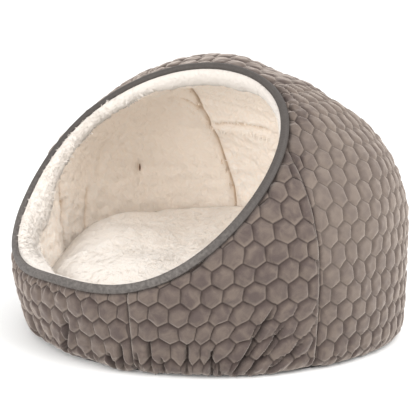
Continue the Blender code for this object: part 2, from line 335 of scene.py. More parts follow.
def column_fan(first_seam, last_seam, columns, near, far_rows):
    """Disc points of columns from the mouth to the hem's curl: rows at the given distances from the
    mouth's edge (below 0 is inside the mouth), then evenly spaced rows."""
    (mouth_a, hem_a), (mouth_b, hem_b) = SEAMS[first_seam], SEAMS[last_seam]
    shares = np.linspace(0.0, 1.0, columns + 1)
    top = mouth_edge(np.radians(between((mouth_a, mouth_b), shares)))
    foot = HEM_REACH * toward(np.radians(between((hem_a, hem_b), shares)))
    steps = np.linspace(0.0, 1.0, FAN_STEPS)
    disc = np.zeros((columns + 1, len(near) + far_rows, 2))
    for k in range(columns + 1):
        points = dome_surface(top[k] + steps[:, None] * (foot[k] - top[k]))
        lengths = np.concatenate([[0.0], np.cumsum(np.linalg.norm(np.diff(points, axis=0), axis=-1))])
        off = mouth_distance(points[None, :FAN_NEAR_STEPS])[0]
        off[0] = 0.0
        off = np.maximum.accumulate(off) + np.arange(FAN_NEAR_STEPS) * 1e-9
        along = np.interp(near, off, lengths[:FAN_NEAR_STEPS])
        spaced = along[-1] + (lengths[-1] - along[-1]) * np.arange(1, far_rows + 1) / far_rows
        share = np.interp(np.concatenate([along, spaced]), lengths, steps)
        share[:len(near)] += np.minimum(near, 0.0) * steps[FAN_SLOPE_STEP] / off[FAN_SLOPE_STEP]
        disc[k] = top[k] + share[:, None] * (foot[k] - top[k])
    return disc


SEAM_LOOK = 4               # columns over which the way off a seam is measured


def seam_distance(points):
    """How far each point of a panel's grid lies from the nearer of its two seams."""
    gaps = np.linalg.norm(np.diff(points, axis=0), axis=-1)
    from_first = np.concatenate([np.zeros((1, points.shape[1])), np.cumsum(gaps, axis=0)], axis=0)
    from_last = from_first[-1] - from_first
    for run, edge, neighbour in ((from_first, 0, SEAM_LOOK), (from_last, -1, -1 - SEAM_LOOK)):
        seam = np.gradient(points[edge], axis=0)
        seam /= np.linalg.norm(seam, axis=-1)[:, None]
        across = points[neighbour] - points[edge]
        square = across - np.sum(across * seam, axis=-1)[:, None] * seam
        run *= np.linalg.norm(square, axis=-1) / np.linalg.norm(across, axis=-1)
    return np.minimum(from_first, from_last)


def close_sheet(front, rear, step, outward):
    """Points and faces of a closed sheet: a fine front, and a rear with every step-th line of it."""
    index = np.arange(front[..., 0].size).reshape(front.shape[:2])
    coarse = rear[::step, ::step]
    hidden = np.arange(coarse[..., 0].size).reshape(coarse.shape[:2]) + index.size
    quads = np.stack([index[:-1, :-1], index[1:, :-1], index[1:, 1:], index[:-1, 1:]], axis=-1)
    backs = np.stack([hidden[:-1, :-1], hidden[:-1, 1:], hidden[1:, 1:], hidden[1:, :-1]], axis=-1)
    faces = quads.reshape(-1, 4).tolist() + backs.reshape(-1, 4).tolist()
    borders = (
        (index[:, 0], hidden[:, 0], True),
        (index[:, -1], hidden[:, -1], False),
        (index[0], hidden[0], False),
        (index[-1], hidden[-1], True),
    )
    for fine, plain, turned in borders:
        for k in range(len(plain) - 1):
            run = fine[k * step:(k + 1) * step + 1].tolist()
            ends = [int(plain[k]), int(plain[k + 1])]
            faces.append(run[::-1] + ends if turned else run + ends[::-1])
    if not outward:
        faces = [face[::-1] for face in faces]
    return np.concatenate([front.reshape(-1, 3), coarse.reshape(-1, 3)]), faces


def both_sides(values, step):
    """What close_sheet's points keep: the value of each point in front, then those of the rear."""
    width = values.shape[2:]
    return np.concatenate([values.reshape(-1, *width), values[::step, ::step].reshape(-1, *width)])


# Long-pile polyester plush: a soft matt fibre that glows where light gets into the pile, with
# uneven tufts a few millimetres across. Shade is painted into it from each point's value:
# greyer on the roll of the mouth and on the cushion, the warmer root colour deeper in the cave,
# and tan in creases and along seams.
PLUSH_TIP = "#FBF6EF"
# warmer root colour: shown at random between tufts, and painted in as shade deeper in the cave
PLUSH_ROOT_AND_SHADE = "#FAEEE1"
# greyer colour, painted in as shade on the roll of the mouth and on the cushion
PLUSH_SHADE_GREY = "#C1BAB3"
# tan, painted in as shade in creases and along seams
PLUSH_CREASE_SHADE = "#DCC4A8"
TUFT_MM = 5.0
TUFT_OPEN = (0.36, 0.60)    # shares of the noise between which a tuft goes from closed to open
TUFT_HEIGHT = 0.003
LAIN_PATCH_MM = 500 / 11    # patches over which the whole pile lies one way or the other
LAIN_RANGE = (0.35, 0.65)
LAIN_LEAST = 0.55
FIBRE_MM = 1.0              # coarser than the real fibres, so that they show
FIBRE_HEIGHT = 0.0006

plush, tree, shader = new_material(
    "cream_long_pile_plush", Roughness=0.95, Specular_IOR_Level=0.1, Sheen_Weight=0.25, Sheen_Roughness=0.5,
)
place = add_node(tree, "TexCoord", output="Object")
tufts = add_node(tree, "TexNoise", {
    "Vector": place, "Scale": 1000 / TUFT_MM, "Detail": 4.0, "Roughness": 0.6, "Distortion": 0.6,
})
patches = add_node(tree, "TexNoise", {"Vector": place, "Scale": 1000 / LAIN_PATCH_MM, "Detail": 3.0})
fibres = add_node(tree, "TexNoise", {"Vector": place, "Scale": 1000 / FIBRE_MM})
opened = add_node(tree, "MapRange", (tufts, *TUFT_OPEN))
lain = add_node(tree, "MapRange", (patches, *LAIN_RANGE, LAIN_LEAST, 1.0))
painted_shade = add_node(tree, "Attribute", output="Fac", attribute_name="painted_light_and_tone")
# where shade is painted in, the tips give way to the root colour
turned = add_node(tree, "Math", (1.0, painted_shade), operation="SUBTRACT", use_clamp=True)
tip = add_node(tree, "Math", (opened, lain), operation="MULTIPLY")
tip = add_node(tree, "Math", (tip, turned), operation="MULTIPLY")
tint = add_node(tree, "Mix", {0: tip, 6: linear(PLUSH_ROOT_AND_SHADE), 7: linear(PLUSH_TIP)}, 2, data_type="RGBA")
# Painted shade from each point's value: below 0 the greyer colour, above 1 tan
painted_grey_shade = add_node(tree, "MapRange", (painted_shade, 0.0, -1.0))
painted_crease_shade = add_node(tree, "MapRange", (painted_shade, 1.0, 2.0))
for mask, shade in ((painted_grey_shade, PLUSH_SHADE_GREY), (painted_crease_shade, PLUSH_CREASE_SHADE)):
    tint = add_node(tree, "Mix", {0: mask, 6: tint, 7: linear(shade)}, 2, data_type="RGBA")
fine = add_node(tree, "Bump", {"Height": fibres, "Distance": FIBRE_HEIGHT, "Strength": 0.6})
coarse = add_node(tree, "Bump", {
    "Height": tufts, "Distance": TUFT_HEIGHT, "Strength": 0.7, "Normal": fine,
})
link_look(tree, shader, tint, coarse)

LINING_BACK = 0.0091        # depth of the lining's hidden side below the body's outside
LINING_FACE = 0.0168        # depth of its face
LINING_PITCH = 0.0026
LINING_STEP = 6
LINING_NEAR = np.arange(0.004, 0.024, LINING_PITCH)     # rows this far from the mouth's edge
LIP_OVERHANG = (0.0050, 0.0080)     # the rolled edge stands this far into the mouth: in front, behind
LIP_BACK = (0.0068, 0.0034)         # and starts this deep, where behind it rides up over the tape
LIP_BEHIND = math.radians(135)      # the direction where it rides up most
LIP_RIDES_UP = (-0.2, 0.45)
LIP_ROWS = 9
LIP_REAR_GAPS = (0.5, 0.6)  # the hidden rows behind the lip spread over these shares of the next gap
DRAWN_ROWS = (0, LIP_ROWS + 4, LIP_ROWS + 16)       # along its seams the face is drawn towards its rear
DRAWN_SHARES = (0.0, 0.05, 0.6)
LIP_PAINTED_SHADE = (0.80, 1.0)      # share of painted grey shade on the roll: in general, and at the top
LIP_TOP = math.radians(80)
LIP_TOP_REACH = (0.55, 0.95)
LIP_SHADE_FADE = (0.004, 0.024)   # distances from the mouth over which this painted shade fades
ROLL_SWELL = 0.0042         # the roll is this much thicker than the rest
ROLL_START = 0.008          # up to here from the mouth's edge, and fading out over this width
ROLL_WIDTH = 0.032
SLACK_SIZE = 0.0022         # the face wanders this much away from the roll, and less in two finer sizes
SLACK_REACH = (0.01, 0.05)
SLACK_FINE = ((0.0006, 0.014, 12), (0.0004, 0.007, 13))     # height, size, seed
SEAM_SAG = 0.0030           # it sags away from its seams, and is drawn out to the wall along them
SEAM_SAG_REACH = 0.045
SEAM_DRAW = 0.0050
SEAM_DRAW_HALF_WIDTH = 0.0045
SEAM_DRAW_REACH = (0.015, 0.04)
SEAM_PAINTED_SHADE = 1.8           # and gets painted shade there, but not near the mouth
SEAM_PAINTED_SHADE_HALF_WIDTH = 0.0030
SEAM_PAINTED_SHADE_REACH = (0.040, 0.062)
INNER_SHADE_REACH = (0.015, 0.070)         # distances from the mouth over which the painted shade deeper in the cave sets in

# Creases: disc place of one end and of the other, depth, half width, how far the cloth beside it
# swells into the cabin, and how wide
LINING_CREASES = (
    (-0.30, 0.38, -0.09, 0.43, 0.0080, 0.0045, 0.0040, 0.020),
    (-0.335, 0.190, -0.305, 0.370, 0.0080, 0.0042, 0.0050, 0.020),
    (-0.26, 0.04, 0.12, 0.12, 0.0, 0.0060, 0.0140, 0.045),
    (-0.74, -0.24, -0.95, -0.31, 0.0090, 0.0050, 0.0060, 0.030),
    (-0.50, -0.46, -0.84, -0.46, 0.0, 0.0060, 0.0120, 0.036),
    (-0.54, -0.66, -0.26, -0.80, 0.0, 0.0060, 0.0125, 0.028),
    (-0.78, -0.05, -0.96, -0.09, 0.0060, 0.0060, 0.0035, 0.018),
    (-0.62, 0.04, -0.76, 0.03, 0.0040, 0.0070, 0.0030, 0.016),
    (-0.69, 0.255, -0.71, 0.265, 0.0060, 0.0060, 0.0, 0.010),
)
SWELL_UNSHADED = 0.012          # where it swells this far into the cave, it gets none of that painted shade
CREASE_SHADE_DEPTH = 0.0042       # where a crease is this deep, it is painted fully tan, as painted shade
CREASE_SHADE_SHARE = 0.8          # over this share of the crease's width


def crease(disc, east_a, north_a, east_b, north_b, half_width):
    """A soft trough, 0 to 1, along a short line on the disc."""
    end = np.array([east_a, north_a])
    run = np.array([east_b, north_b]) - end
    share = np.clip((disc - end) @ run / (run @ run), 0.0, 1.0)
    foot = dome_surface(end + share[..., None] * run)
    return bell(np.linalg.norm(dome_surface(disc) - foot, axis=-1), half_width)


# Locks of pile, drawn coarser than the real fibres so that they show: length and width of one lock,
# spacing on the rolled edge and on the wall, how far it strays from the nap, how steeply it stands
PILE_LENGTH = 0.0062
PILE_LENGTH_SPREAD = (0.6, 1.25)
PILE_WIDTH = 0.0013
PILE_WIDTH_SPREAD = (0.6, 1.3)
PILE_SPACING = (0.0017, 0.0031)
PILE_RAGGED = math.radians(172)     # the way from the mouth's middle where the pile lies out over the tape
PILE_RAGGED_REACH = (0.35, 0.85)
PILE_STRAY = 0.55
PILE_BEND = 0.25
PILE_FIRST_ROW = 3
PILE_STAND = (0.45, 0.14)
PILE_STAND_SPREAD = (0.5, 1.3)
PILE_DROOP = 0.45
PILE_ROOT_DEPTH = 0.0006
PILE_ROLL_ROWS = (LIP_ROWS + 4, LIP_ROWS + 12)      # rows over which the rolled edge ends
PILE_BARE_ROWS = (LIP_ROWS + 2, LIP_ROWS + 8)       # and where a smooth edge has no locks before
PILE_RAGGED_ROWS = (LIP_ROWS - 2, LIP_ROWS + 3)
PILE_TAPER = ((0.0, 0.8), (0.35, 1.0), (0.72, 0.6))     # share of the length, share of the width


def pile_locks(name, roots, normals, nap, stand, over, seed):
    """Tapering locks joined in one mesh, one from each root, lying along the nap."""
    draw = np.random.default_rng(seed)
    count = len(roots)
    lay = nap + draw.normal(size=(count, 3)) * PILE_STRAY
    lay -= np.sum(lay * normals, axis=1)[:, None] * normals
    lay /= np.linalg.norm(lay, axis=1)[:, None]
    side = np.cross(normals, lay)
    length = PILE_LENGTH * draw.uniform(*PILE_LENGTH_SPREAD, count)[:, None]
    width = PILE_WIDTH * draw.uniform(*PILE_WIDTH_SPREAD, count)[:, None]
    stand = (stand * draw.uniform(*PILE_STAND_SPREAD, count))[:, None]
    bend = side * draw.normal(size=(count, 1)) * PILE_BEND
    rows = []
    for share, narrow in (*PILE_TAPER, (1.0, 0.0)):
        rise = stand * (share - PILE_DROOP * share ** 2) * length - PILE_ROOT_DEPTH
        centre = roots + (lay * share + bend * share ** 2) * length + normals * rise
        half = side * width * narrow / 2
        rows += [centre - half, centre + half] if narrow else [centre]
    points = np.stack(rows, axis=1).reshape(-1, 3)
    start = np.arange(count)[:, None] * len(rows)
    quads = np.concatenate([start + np.array([0, 1, 3, 2]), start + np.array([2, 3, 5, 4])])
    faces = quads.tolist() + (start + np.array([4, 5, 6])).tolist()
    return add_piece(name, points, faces, plush, np.repeat(over, len(rows)))


def wall_pile(name, front, over, ragged):
    """The locks of one lining panel, from its grid of points. They lie inward, or out over the tape
    where the edge is ragged."""
    draw = np.random.default_rng(len(name) + front.shape[0])
    down = np.gradient(front, axis=1)
    normals = np.cross(np.gradient(front, axis=0), down)
    size = np.linalg.norm(normals, axis=-1)
    normals /= np.maximum(size, 1e-12)[..., None]
    down /= np.maximum(np.linalg.norm(down, axis=-1), 1e-12)[..., None]
    row = np.arange(front.shape[1])[None, :]
    on_roll = 1.0 - smooth(row, *PILE_ROLL_ROWS)
    spacing = between(PILE_SPACING[::-1], on_roll)
    bare = (1.0 - ragged[:, None]) * (1.0 - smooth(row, *PILE_BARE_ROWS))
    wanted = size / spacing ** 2 * (1.0 - bare)
    number = np.floor(wanted + draw.uniform(0.0, 1.0, size.shape)).astype(int)
    number[-1] = 0
    number[:, -1] = 0
    number[:, :PILE_FIRST_ROW] = 0
    column, line = (np.repeat(k.ravel(), number.ravel()) for k in np.indices(size.shape))
    u, v = draw.uniform(0.0, 1.0, (2, len(column), 1))
    roots = (
        front[column, line] * (1 - u) * (1 - v) + front[column + 1, line] * u * (1 - v)
        + front[column, line + 1] * (1 - u) * v + front[column + 1, line + 1] * u * v
    )
    outward = ragged[column] * (1.0 - smooth(line, *PILE_RAGGED_ROWS))
    nap = down[column, line] * (1.0 - 2.0 * outward)[:, None]
    stand = between(PILE_STAND[::-1], outward)
    over = over[column, line]
    return pile_locks(name, roots, normals[column, line], nap, stand, over, front.shape[0])


def ridden_up(disc):
    """How far the rolled edge rides up over the tape, 0 to 1, by the way round the mouth."""
    return near_heading(disc, LIP_BEHIND, LIP_RIDES_UP)


def lining_face(disc, from_mouth, from_seam):
    """Depth of a panel's face, how far its creases make it swell, and the painted shade of its creases and
    seams.
    """
    plain = below_surface(disc, LINING_FACE)
    inset = LINING_FACE + ROLL_SWELL * bell(np.maximum(from_mouth - ROLL_START, 0.0), ROLL_WIDTH)
    inset += SLACK_SIZE * wander(plain, 0.080, 11) * smooth(from_mouth, *SLACK_REACH)
    inset += sum(height * wander(plain, size, seed) for height, size, seed in SLACK_FINE)
    inset += SEAM_SAG * smooth(from_seam, 0.0, SEAM_SAG_REACH)
    inset -= SEAM_DRAW * bell(from_seam, SEAM_DRAW_HALF_WIDTH) * smooth(from_mouth, *SEAM_DRAW_REACH)
    swollen = np.zeros(inset.shape)
    # Painted shade along the seams and in the deeper creases
    painted_crease_shade = SEAM_PAINTED_SHADE * bell(from_seam, SEAM_PAINTED_SHADE_HALF_WIDTH) * smooth(from_mouth, *SEAM_PAINTED_SHADE_REACH)
    for *ends, size, half_width, swell, swell_width in LINING_CREASES:
        swollen += swell * crease(disc, *ends, swell_width)
        inset -= size * crease(disc, *ends, half_width)
        painted_crease_shade = np.maximum(painted_crease_shade, size / CREASE_SHADE_DEPTH * crease(disc, *ends, CREASE_SHADE_SHARE * half_width))
    return inset + swollen, swollen, painted_crease_shade


def lining_grids(disc, lip_end, inset):
    """A panel's points in front and behind: the rolled lip, then the face down to the base. Along
    its seams the front is drawn out towards the rear."""
    behind = ridden_up(disc[:, 0])
    lip_back = between(LIP_BACK, behind)
    overhang = (between(LIP_OVERHANG, behind) + LINING_NEAR[0]) / (LIP_OVERHANG[1] + LINING_NEAR[0])
    lip_run = (lip_end - disc[:, 0]) * overhang[:, None]
    lip = []
    for turn in np.linspace(0.0, math.pi, LIP_ROWS + 1)[:-1]:
        depth = (lip_back + inset[:, 0]) / 2 - (inset[:, 0] - lip_back) / 2 * math.cos(turn)
        lip.append(below_surface(disc[:, 0] + math.sin(turn) * lip_run, depth))
    front = np.concatenate([np.stack(lip, axis=1), below_surface(disc, inset)], axis=1)
    rear_disc = np.concatenate([np.repeat(disc[:, :1], LIP_ROWS, axis=1), disc], axis=1)
    rear = below_surface(rear_disc, LINING_BACK)
    first_gap = rear[:, LIP_ROWS + 1] - rear[:, LIP_ROWS]
    shares = np.arange(1, LIP_ROWS)[None, :, None] / LIP_ROWS * LIP_REAR_GAPS[0]
    rear[:, 1:LIP_ROWS] += first_gap[:, None] * shares
    rear[:, LIP_ROWS] += first_gap * LIP_REAR_GAPS[1]
    drawn = np.interp(np.arange(front.shape[1]), DRAWN_ROWS, DRAWN_SHARES)[:, None]
    for edge in (0, -1):
        front[edge] = front[edge] * (1.0 - drawn) + rear[edge] * drawn
    return front, rear


def lining_panel(name, first_seam, last_seam, columns, far_rows, painted_shade, node):
    """One lining panel with its pile. Away from the mouth it gets painted shade by the given share:
    the warmer root colour, or below 0 the greyer colour."""
    near = np.array([-LIP_OVERHANG[1], *LINING_NEAR])
    disc = column_fan(first_seam, last_seam, columns, near, far_rows)
    lip_end, disc = disc[:, 0], disc[:, 1:]
    from_mouth = mouth_distance(dome_surface(disc))
    from_seam = seam_distance(below_surface(disc, LINING_FACE))
    inset, swollen, painted_crease_shade = lining_face(disc, from_mouth, from_seam)
    front, rear = lining_grids(disc, lip_end, inset)
    # Painted shade deeper in the cave, except where the face swells out into it
    away = smooth(from_mouth, *INNER_SHADE_REACH) * (1.0 - np.clip(swollen / SWELL_UNSHADED, 0.0, 1.0))
    # Painted shade on the roll of the mouth: the greyer colour, most at the top
    lip_painted_shade = between(LIP_PAINTED_SHADE, near_heading(disc[:, 0], LIP_TOP, LIP_TOP_REACH))[:, None]
    over = painted_shade * away - lip_painted_shade * (1.0 - smooth(from_mouth, *LIP_SHADE_FADE))
    # painted shade as root colour and as tan in creases and along seams
    root_and_crease_shade = np.maximum(np.maximum(over, 0.0), painted_crease_shade)
    over = root_and_crease_shade + np.minimum(over, 0.0) * (1.0 - np.clip(painted_crease_shade, 0.0, 1.0))
    over = np.concatenate([np.repeat(-lip_painted_shade, LIP_ROWS, axis=1), over], axis=1)
    points, faces = close_sheet(front, rear, LINING_STEP, False)
    piece = add_piece(name, points, faces, plush, both_sides(over, LINING_STEP))
    ragged = near_heading(disc[:, 0], PILE_RAGGED, PILE_RAGGED_REACH)
    pile = wall_pile(name + "_pile", front, over, ragged)
    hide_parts(node)


def whole(length, pitch, step):
    """A number of grid cells of about the pitch along a length, in whole steps."""
    return max(1, round(length / pitch / step)) * step


# each panel's share of painted shade deeper in the cave, most on the left; below 0 the greyer colour
for name, first_seam, last_seam, hem_run, wall_run, painted_shade, node, flat, area in (
    ("lining_front_band", "left_side", "right_side_again", 0.53, 0.13, 0.2, "lining_front",
     (0.60, 0.19), 0.062),
    ("lining_right", "right_side", "right_back", 0.28, 0.28, -0.40, "lining_side_right",
     (0.30, 0.31), 0.058),
    ("lining_back", "right_back", "left_back", 0.21, 0.33, 0.2, "lining_crown_back",
     (0.25, 0.40), 0.083),
    ("lining_left", "left_back", "left_side", 0.28, 0.28, 0.6, "lining_side_left",
     (0.32, 0.32), 0.067),
):
    columns = whole(hem_run, LINING_PITCH, LINING_STEP)
    far_rows = whole(wall_run, LINING_PITCH, LINING_STEP) - (LIP_ROWS + len(LINING_NEAR) - 1)
    lining_panel(name, first_seam, last_seam, columns, far_rows, painted_shade, node)

# --- Tack thread --------------------------------------------------------------
# A short brown sewing thread tacks the left lining panel to the wall behind it, where its slack
# was caught. It is polyester, thick in the middle, and goes into the plush at both ends.
TACK_PLACE = np.array([-0.700, 0.265])
TACK_DEPTH = LINING_FACE - 0.0010
TACK_LENGTH = 0.009
TACK_HALF_THICKNESS = 0.0010
TACK_END_SHARE = 0.35
TACK_SIDES = 10
TACK_RINGS = 9

# Polyester thread with a faint shine, too thin to show its own twist
THREAD_BROWN = "#6B4A33"
thread = new_material("brown_sewing_thread", Roughness=0.7, Base_Color=linear(THREAD_BROWN))[0]

shares = np.linspace(0.0, 1.0, TACK_RINGS)
centre = below_surface(TACK_PLACE[None], TACK_DEPTH)[0] + np.outer(shares - 0.5, (0.0, 0.0, TACK_LENGTH))
thick = TACK_HALF_THICKNESS * between((TACK_END_SHARE, 1.0), np.sin(shares * math.pi))
ring = np.pad(toward(around(TACK_SIDES)), ((0, 0), (0, 1)))
points = (centre[:, None] + thick[:, None, None] * ring[None]).reshape(-1, 3)
index = np.arange(TACK_RINGS * TACK_SIDES).reshape(TACK_RINGS, TACK_SIDES)
faces = [*ring_faces(index), index[0, ::-1].tolist(), index[-1].tolist()]
add_piece("lining_tack", points, faces, thread)

# --- Quilted velvet -----------------------------------------------------------
# The outside is five panels of taupe velvet, stitched through wadding to a backing in honeycomb
# and sewn edge to edge. Each panel was cut its own way, so the cells change at the seams.
CELL_RISE = math.sqrt(3) / 2
CELL_NUMBERING = (12.9898, 78.233, 37.719)      # gives every cell a number of its own
CELL_SCATTER = 43758.5453   # spreads the sines of these numbers evenly


def honeycomb(across, along):
    """How far inside its cell a point lies, in cell widths, and the cell's own number."""
    per_column, per_row, per_shift = CELL_NUMBERING
    best = np.full(across.shape, np.inf)
    number = np.zeros(across.shape)
    for shift in (0.0, 0.5):
        column = np.round(across - shift)
        row = np.round((along - 2.0 * shift) / 2.0)
        x = np.abs(across - shift - column)
        y = np.abs(along - 2.0 * shift - 2.0 * row) * CELL_RISE
        distance = np.maximum(x, x / 2 + y * CELL_RISE)
        this = column * per_column + row * per_row + shift * per_shift
        number = np.where(distance < best, this, number)
        best = np.minimum(best, distance)
    return 0.5 - best, number


# Velvet: short dense pile, rubbed into paler and darker patches. Each puff has a painted highlight
# on its lower flank and painted shade on its upper one, and the stitched lines are dark with the
# roots of the pile and with painted shade in the groove. Each point's value adds painted shade and
# darker crushed patches, or below 0 paler painted light.
VELVET_LIGHT = "#5E534C"
VELVET_DARK = "#493F3C"
VELVET_PAINTED_HIGHLIGHT = "#756960"
VELVET_PAINTED_SHADE = "#3A302D"
VELVET_ROOT_AND_SHADE = "#2B2422"
VELVET_PAINTED_LIGHT = "#7C7168"
VELVET_SHEEN_TINT = "#CFC4BB"
NAP_PATCH_MM = 16.0
NAP_PATCH_RANGE = (0.36, 0.64)
NAP_SPECKLE_RANGE = (0.3, 0.7)
NAP_SPECKLE = 0.15
NAP_LEAN = 0.55             # the painted highlight and shade of a puff lie down and a little to one side
LOWER_LEAN = (0.10, 0.50)   # along that way out of the cell's middle, in cell widths
LOWER_SHARE = 0.60
UPPER_LEAN = (0.10, -0.40)
RIM_REACH = (0.34, 0.45)    # where the lower flank gets its painted highlight, in cell widths from the middle
FLANK_REACH = (0.27, 0.47)  # where the upper flank gets its painted shade
STITCH_REACH = (0.450, 0.495)
STITCH_SHARE = 0.60
STITCH_HEIGHT = 0.0007
PILE_MM = 0.8               # coarser than the real pile, so that it shows
PILE_HEIGHT = 0.0003

velvet, tree, shader = new_material(
    "taupe_cut_velvet", Roughness=0.8, Specular_IOR_Level=0.15,
    Sheen_Weight=0.85, Sheen_Roughness=0.45, Sheen_Tint=linear(VELVET_SHEEN_TINT),
)
place = add_node(tree, "TexCoord", output="Object")
cloth = add_node(tree, "UVMap", uv_map="cloth")
lattices = []
for shift in (0.0, 0.5):
    moved = add_node(tree, "VectorMath", (cloth, (shift, 2.0 * shift, 0.0)), operation="SUBTRACT")
    cell = add_node(tree, "VectorMath", (moved, (0.5, 1.0, 1.0), (-0.5, -1.0, -1.0)), operation="WRAP")
    size = add_node(tree, "VectorMath", (cell,), operation="ABSOLUTE")
    slanting = (0.5, CELL_RISE ** 2, 0.0)
    slant = add_node(tree, "VectorMath", (size, slanting), "Value", operation="DOT_PRODUCT")
    flat_side = add_node(tree, "SeparateXYZ", (size,))
    lattices.append((cell, add_node(tree, "Math", (flat_side, slant), operation="MAXIMUM")))
(cell_even, far_even), (cell_odd, far_odd) = lattices
odd = add_node(tree, "Math", (far_odd, far_even), operation="LESS_THAN")
edge = add_node(tree, "Math", (far_even, far_odd), operation="MINIMUM")
cell = add_node(tree, "Mix", {0: odd, 4: cell_even, 5: cell_odd}, 1, data_type="VECTOR")
lean = add_node(tree, "VectorMath", (cell, (NAP_LEAN, -CELL_RISE, 0.0)), "Value", operation="DOT_PRODUCT")
rim = add_node(tree, "MapRange", (edge, *RIM_REACH))
flank = add_node(tree, "MapRange", (edge, *FLANK_REACH))
lower = add_node(tree, "MapRange", (lean, *LOWER_LEAN, 0.0, LOWER_SHARE))
upper = add_node(tree, "MapRange", (lean, *UPPER_LEAN))
# Painted highlight on each puff's lower flank, painted shade on its upper one
painted_highlight = add_node(tree, "Math", (rim, lower), operation="MULTIPLY")
painted_flank_shade = add_node(tree, "Math", (flank, upper), operation="MULTIPLY")
# The stitched lines: the dark roots of the pile, and painted shade in the groove
stitched = add_node(
    tree, "MapRange", (edge, *STITCH_REACH, 0.0, STITCH_SHARE), interpolation_type="SMOOTHSTEP",
)
patches = add_node(tree, "TexNoise", {
    "Vector": place, "Scale": 1000 / NAP_PATCH_MM, "Detail": 3.0, "Roughness": 0.55, "Distortion": 0.8,
})
pile = add_node(tree, "TexNoise", {"Vector": place, "Scale": 1000 / PILE_MM})
rubbed = add_node(tree, "MapRange", (patches, *NAP_PATCH_RANGE))
speckled = add_node(tree, "MapRange", (pile, *NAP_SPECKLE_RANGE, -NAP_SPECKLE, NAP_SPECKLE))
nap = add_node(tree, "Math", (rubbed, speckled), operation="ADD", use_clamp=True)
painted_light_and_tone = add_node(tree, "Attribute", output="Fac", attribute_name="painted_light_and_tone")
# Below 0 each point's value gives painted light: the sides paler
brushed = add_node(tree, "MapRange", (painted_light_and_tone, 0.0, -1.0))
tint = linear(VELVET_DARK)
# Painted highlight and shade, dark stitched lines, then from each point's value painted shade and crushed
# patches, or painted light
for mask, shade in (
    (nap, VELVET_LIGHT), (painted_highlight, VELVET_PAINTED_HIGHLIGHT), (painted_flank_shade, VELVET_PAINTED_SHADE), (stitched, VELVET_ROOT_AND_SHADE),
    (brushed, VELVET_PAINTED_LIGHT), (painted_light_and_tone, VELVET_ROOT_AND_SHADE),
):
    tint = add_node(tree, "Mix", {0: mask, 6: tint, 7: linear(shade)}, 2, data_type="RGBA")
fuzz = add_node(tree, "Bump", {"Height": pile, "Distance": PILE_HEIGHT, "Strength": 0.5})
line = add_node(tree, "Bump", {
    "Height": stitched, "Distance": STITCH_HEIGHT, "Strength": 0.5, "Normal": fuzz,
}, invert=True)
link_look(tree, shader, tint, line)

VELVET_THICKNESS = 0.0087
VELVET_LEAST = 0.0008       # the panel is nowhere pressed thinner than this
VELVET_FACE = 0.0009        # depth of its face where nothing draws it in
VELVET_PITCH = 0.00145
VELVET_STEP = 6
VELVET_NEAR_ROWS = 6
HEM_ROWS = 14
HEM_CLEAR = 0.0006          # the hem clears the floor by this
TAPE_TUCK = 0.0035          # the velvet runs up to this distance from the mouth's edge, under the tape
STITCH_DITCH = ((0.0012, 0.045), (0.0013, 0.11))    # depth, half width in cells: the thread, the pull
PUFF_HEIGHT = 0.0009
PUFF_WIDTH = 0.20
PUFF_SPREAD = (0.75, 1.25)
PUFF_FLATTENED = 0.4        # of the relief, where the pile is brushed up
FLOOR_PUFF = 0.25           # share of the relief that is left at the floor, up to this height
FLOOR_PUFF_REACH = (0.002, 0.020)
CELL_STRAY = ((0.05, 0.05), (0.02, 0.015))      # the stitched lines stray: share of a cell, over metres
CELL_CRINKLE = (0.0003, 0.009, 0.1)     # height, size, and how far off the stitched line in cells
CLOTH_WAVE = (0.0012, 0.07)
SEAM_PUFF_REACH = (-0.002, 0.006)
SEAM_DITCH = ((0.0028, 0.0020), (0.0012, 0.009))
SEAM_SHADE = 0.5
SEAM_SHADE_HALF_WIDTH = 0.0011

# Folds in the front wall: heading and height of the top and of the foot, depth, half width
FOLDS = (
    (-28.9, 0.080, -39.5, 0.006, 0.0068, 0.0019),
    (-25.5, 0.060, -35.6, 0.006, 0.0060, 0.0018),
    (-19.5, 0.038, -30.0, 0.006, 0.0048, 0.0018),
    (-43.9, 0.020, -43.6, 0.005, 0.0050, 0.0017),
    (-45.8, 0.034, -45.7, 0.005, 0.0058, 0.0019),
    (-51.9, 0.039, -52.5, 0.006, 0.0055, 0.0019),
    (-59.3, 0.023, -58.8, 0.006, 0.0045, 0.0018),
    (-62.2, 0.041, -62.5, 0.006, 0.0052, 0.0019),
    (-65.9, 0.027, -66.2, 0.005, 0.0050, 0.0019),
    (-70.1, 0.033, -70.5, 0.006, 0.0052, 0.0019),
    (-74.2, 0.022, -73.7, 0.006, 0.0055, 0.0019),
    (-86.0, 0.055, -91.7, 0.006, 0.0062, 0.0026),
    (-107.0, 0.034, -108.0, 0.005, 0.0040, 0.0050),
)
FOLD_FADE = (-0.05, 0.28)   # shares of a fold's run from its top, over which it sets in
FOLD_DARK_DEPTH = 0.0062    # the fold is painted quite dark, as painted shade, where it is this deep
FOLD_DARK_SHARE = 0.85
FOLD_RIDGE = (0.22, 2.6, 1.4)       # its shoulders: share of its depth, place and width in half widths
FOLD_ON_STITCH = (2.0, 0.06)        # it widens by this along a stitched line, this many cells wide
FOLD_OFF_STITCH = 0.9
FOLD_LEAN = 0.60            # the columns lean this much where the diagonal folds draw them down
FOLD_LEAN_HEADINGS = (-56.0, -42.0)
FOLD_LEAN_TOP = 0.072
GATHER_COUNT = 84
GATHER_DEPTH = (0.0006, 0.0026)
GATHER_BEHIND = 0.35        # share of the depth that is left behind
GATHER_TOP = (0.004, 0.022)         # their heights, and further down the height of their feet
GATHER_HALF_WIDTH = (0.0012, 0.0020)
GATHER_FOOT = 0.003
GATHER_STRAY = 0.35         # of the way to the next one
GATHER_LEAN = 1.0           # degrees
FRONT_HEADING = -80.0
FRONT_REACH = (100.0, 45.0)         # degrees to each side over which the gathers deepen to the front
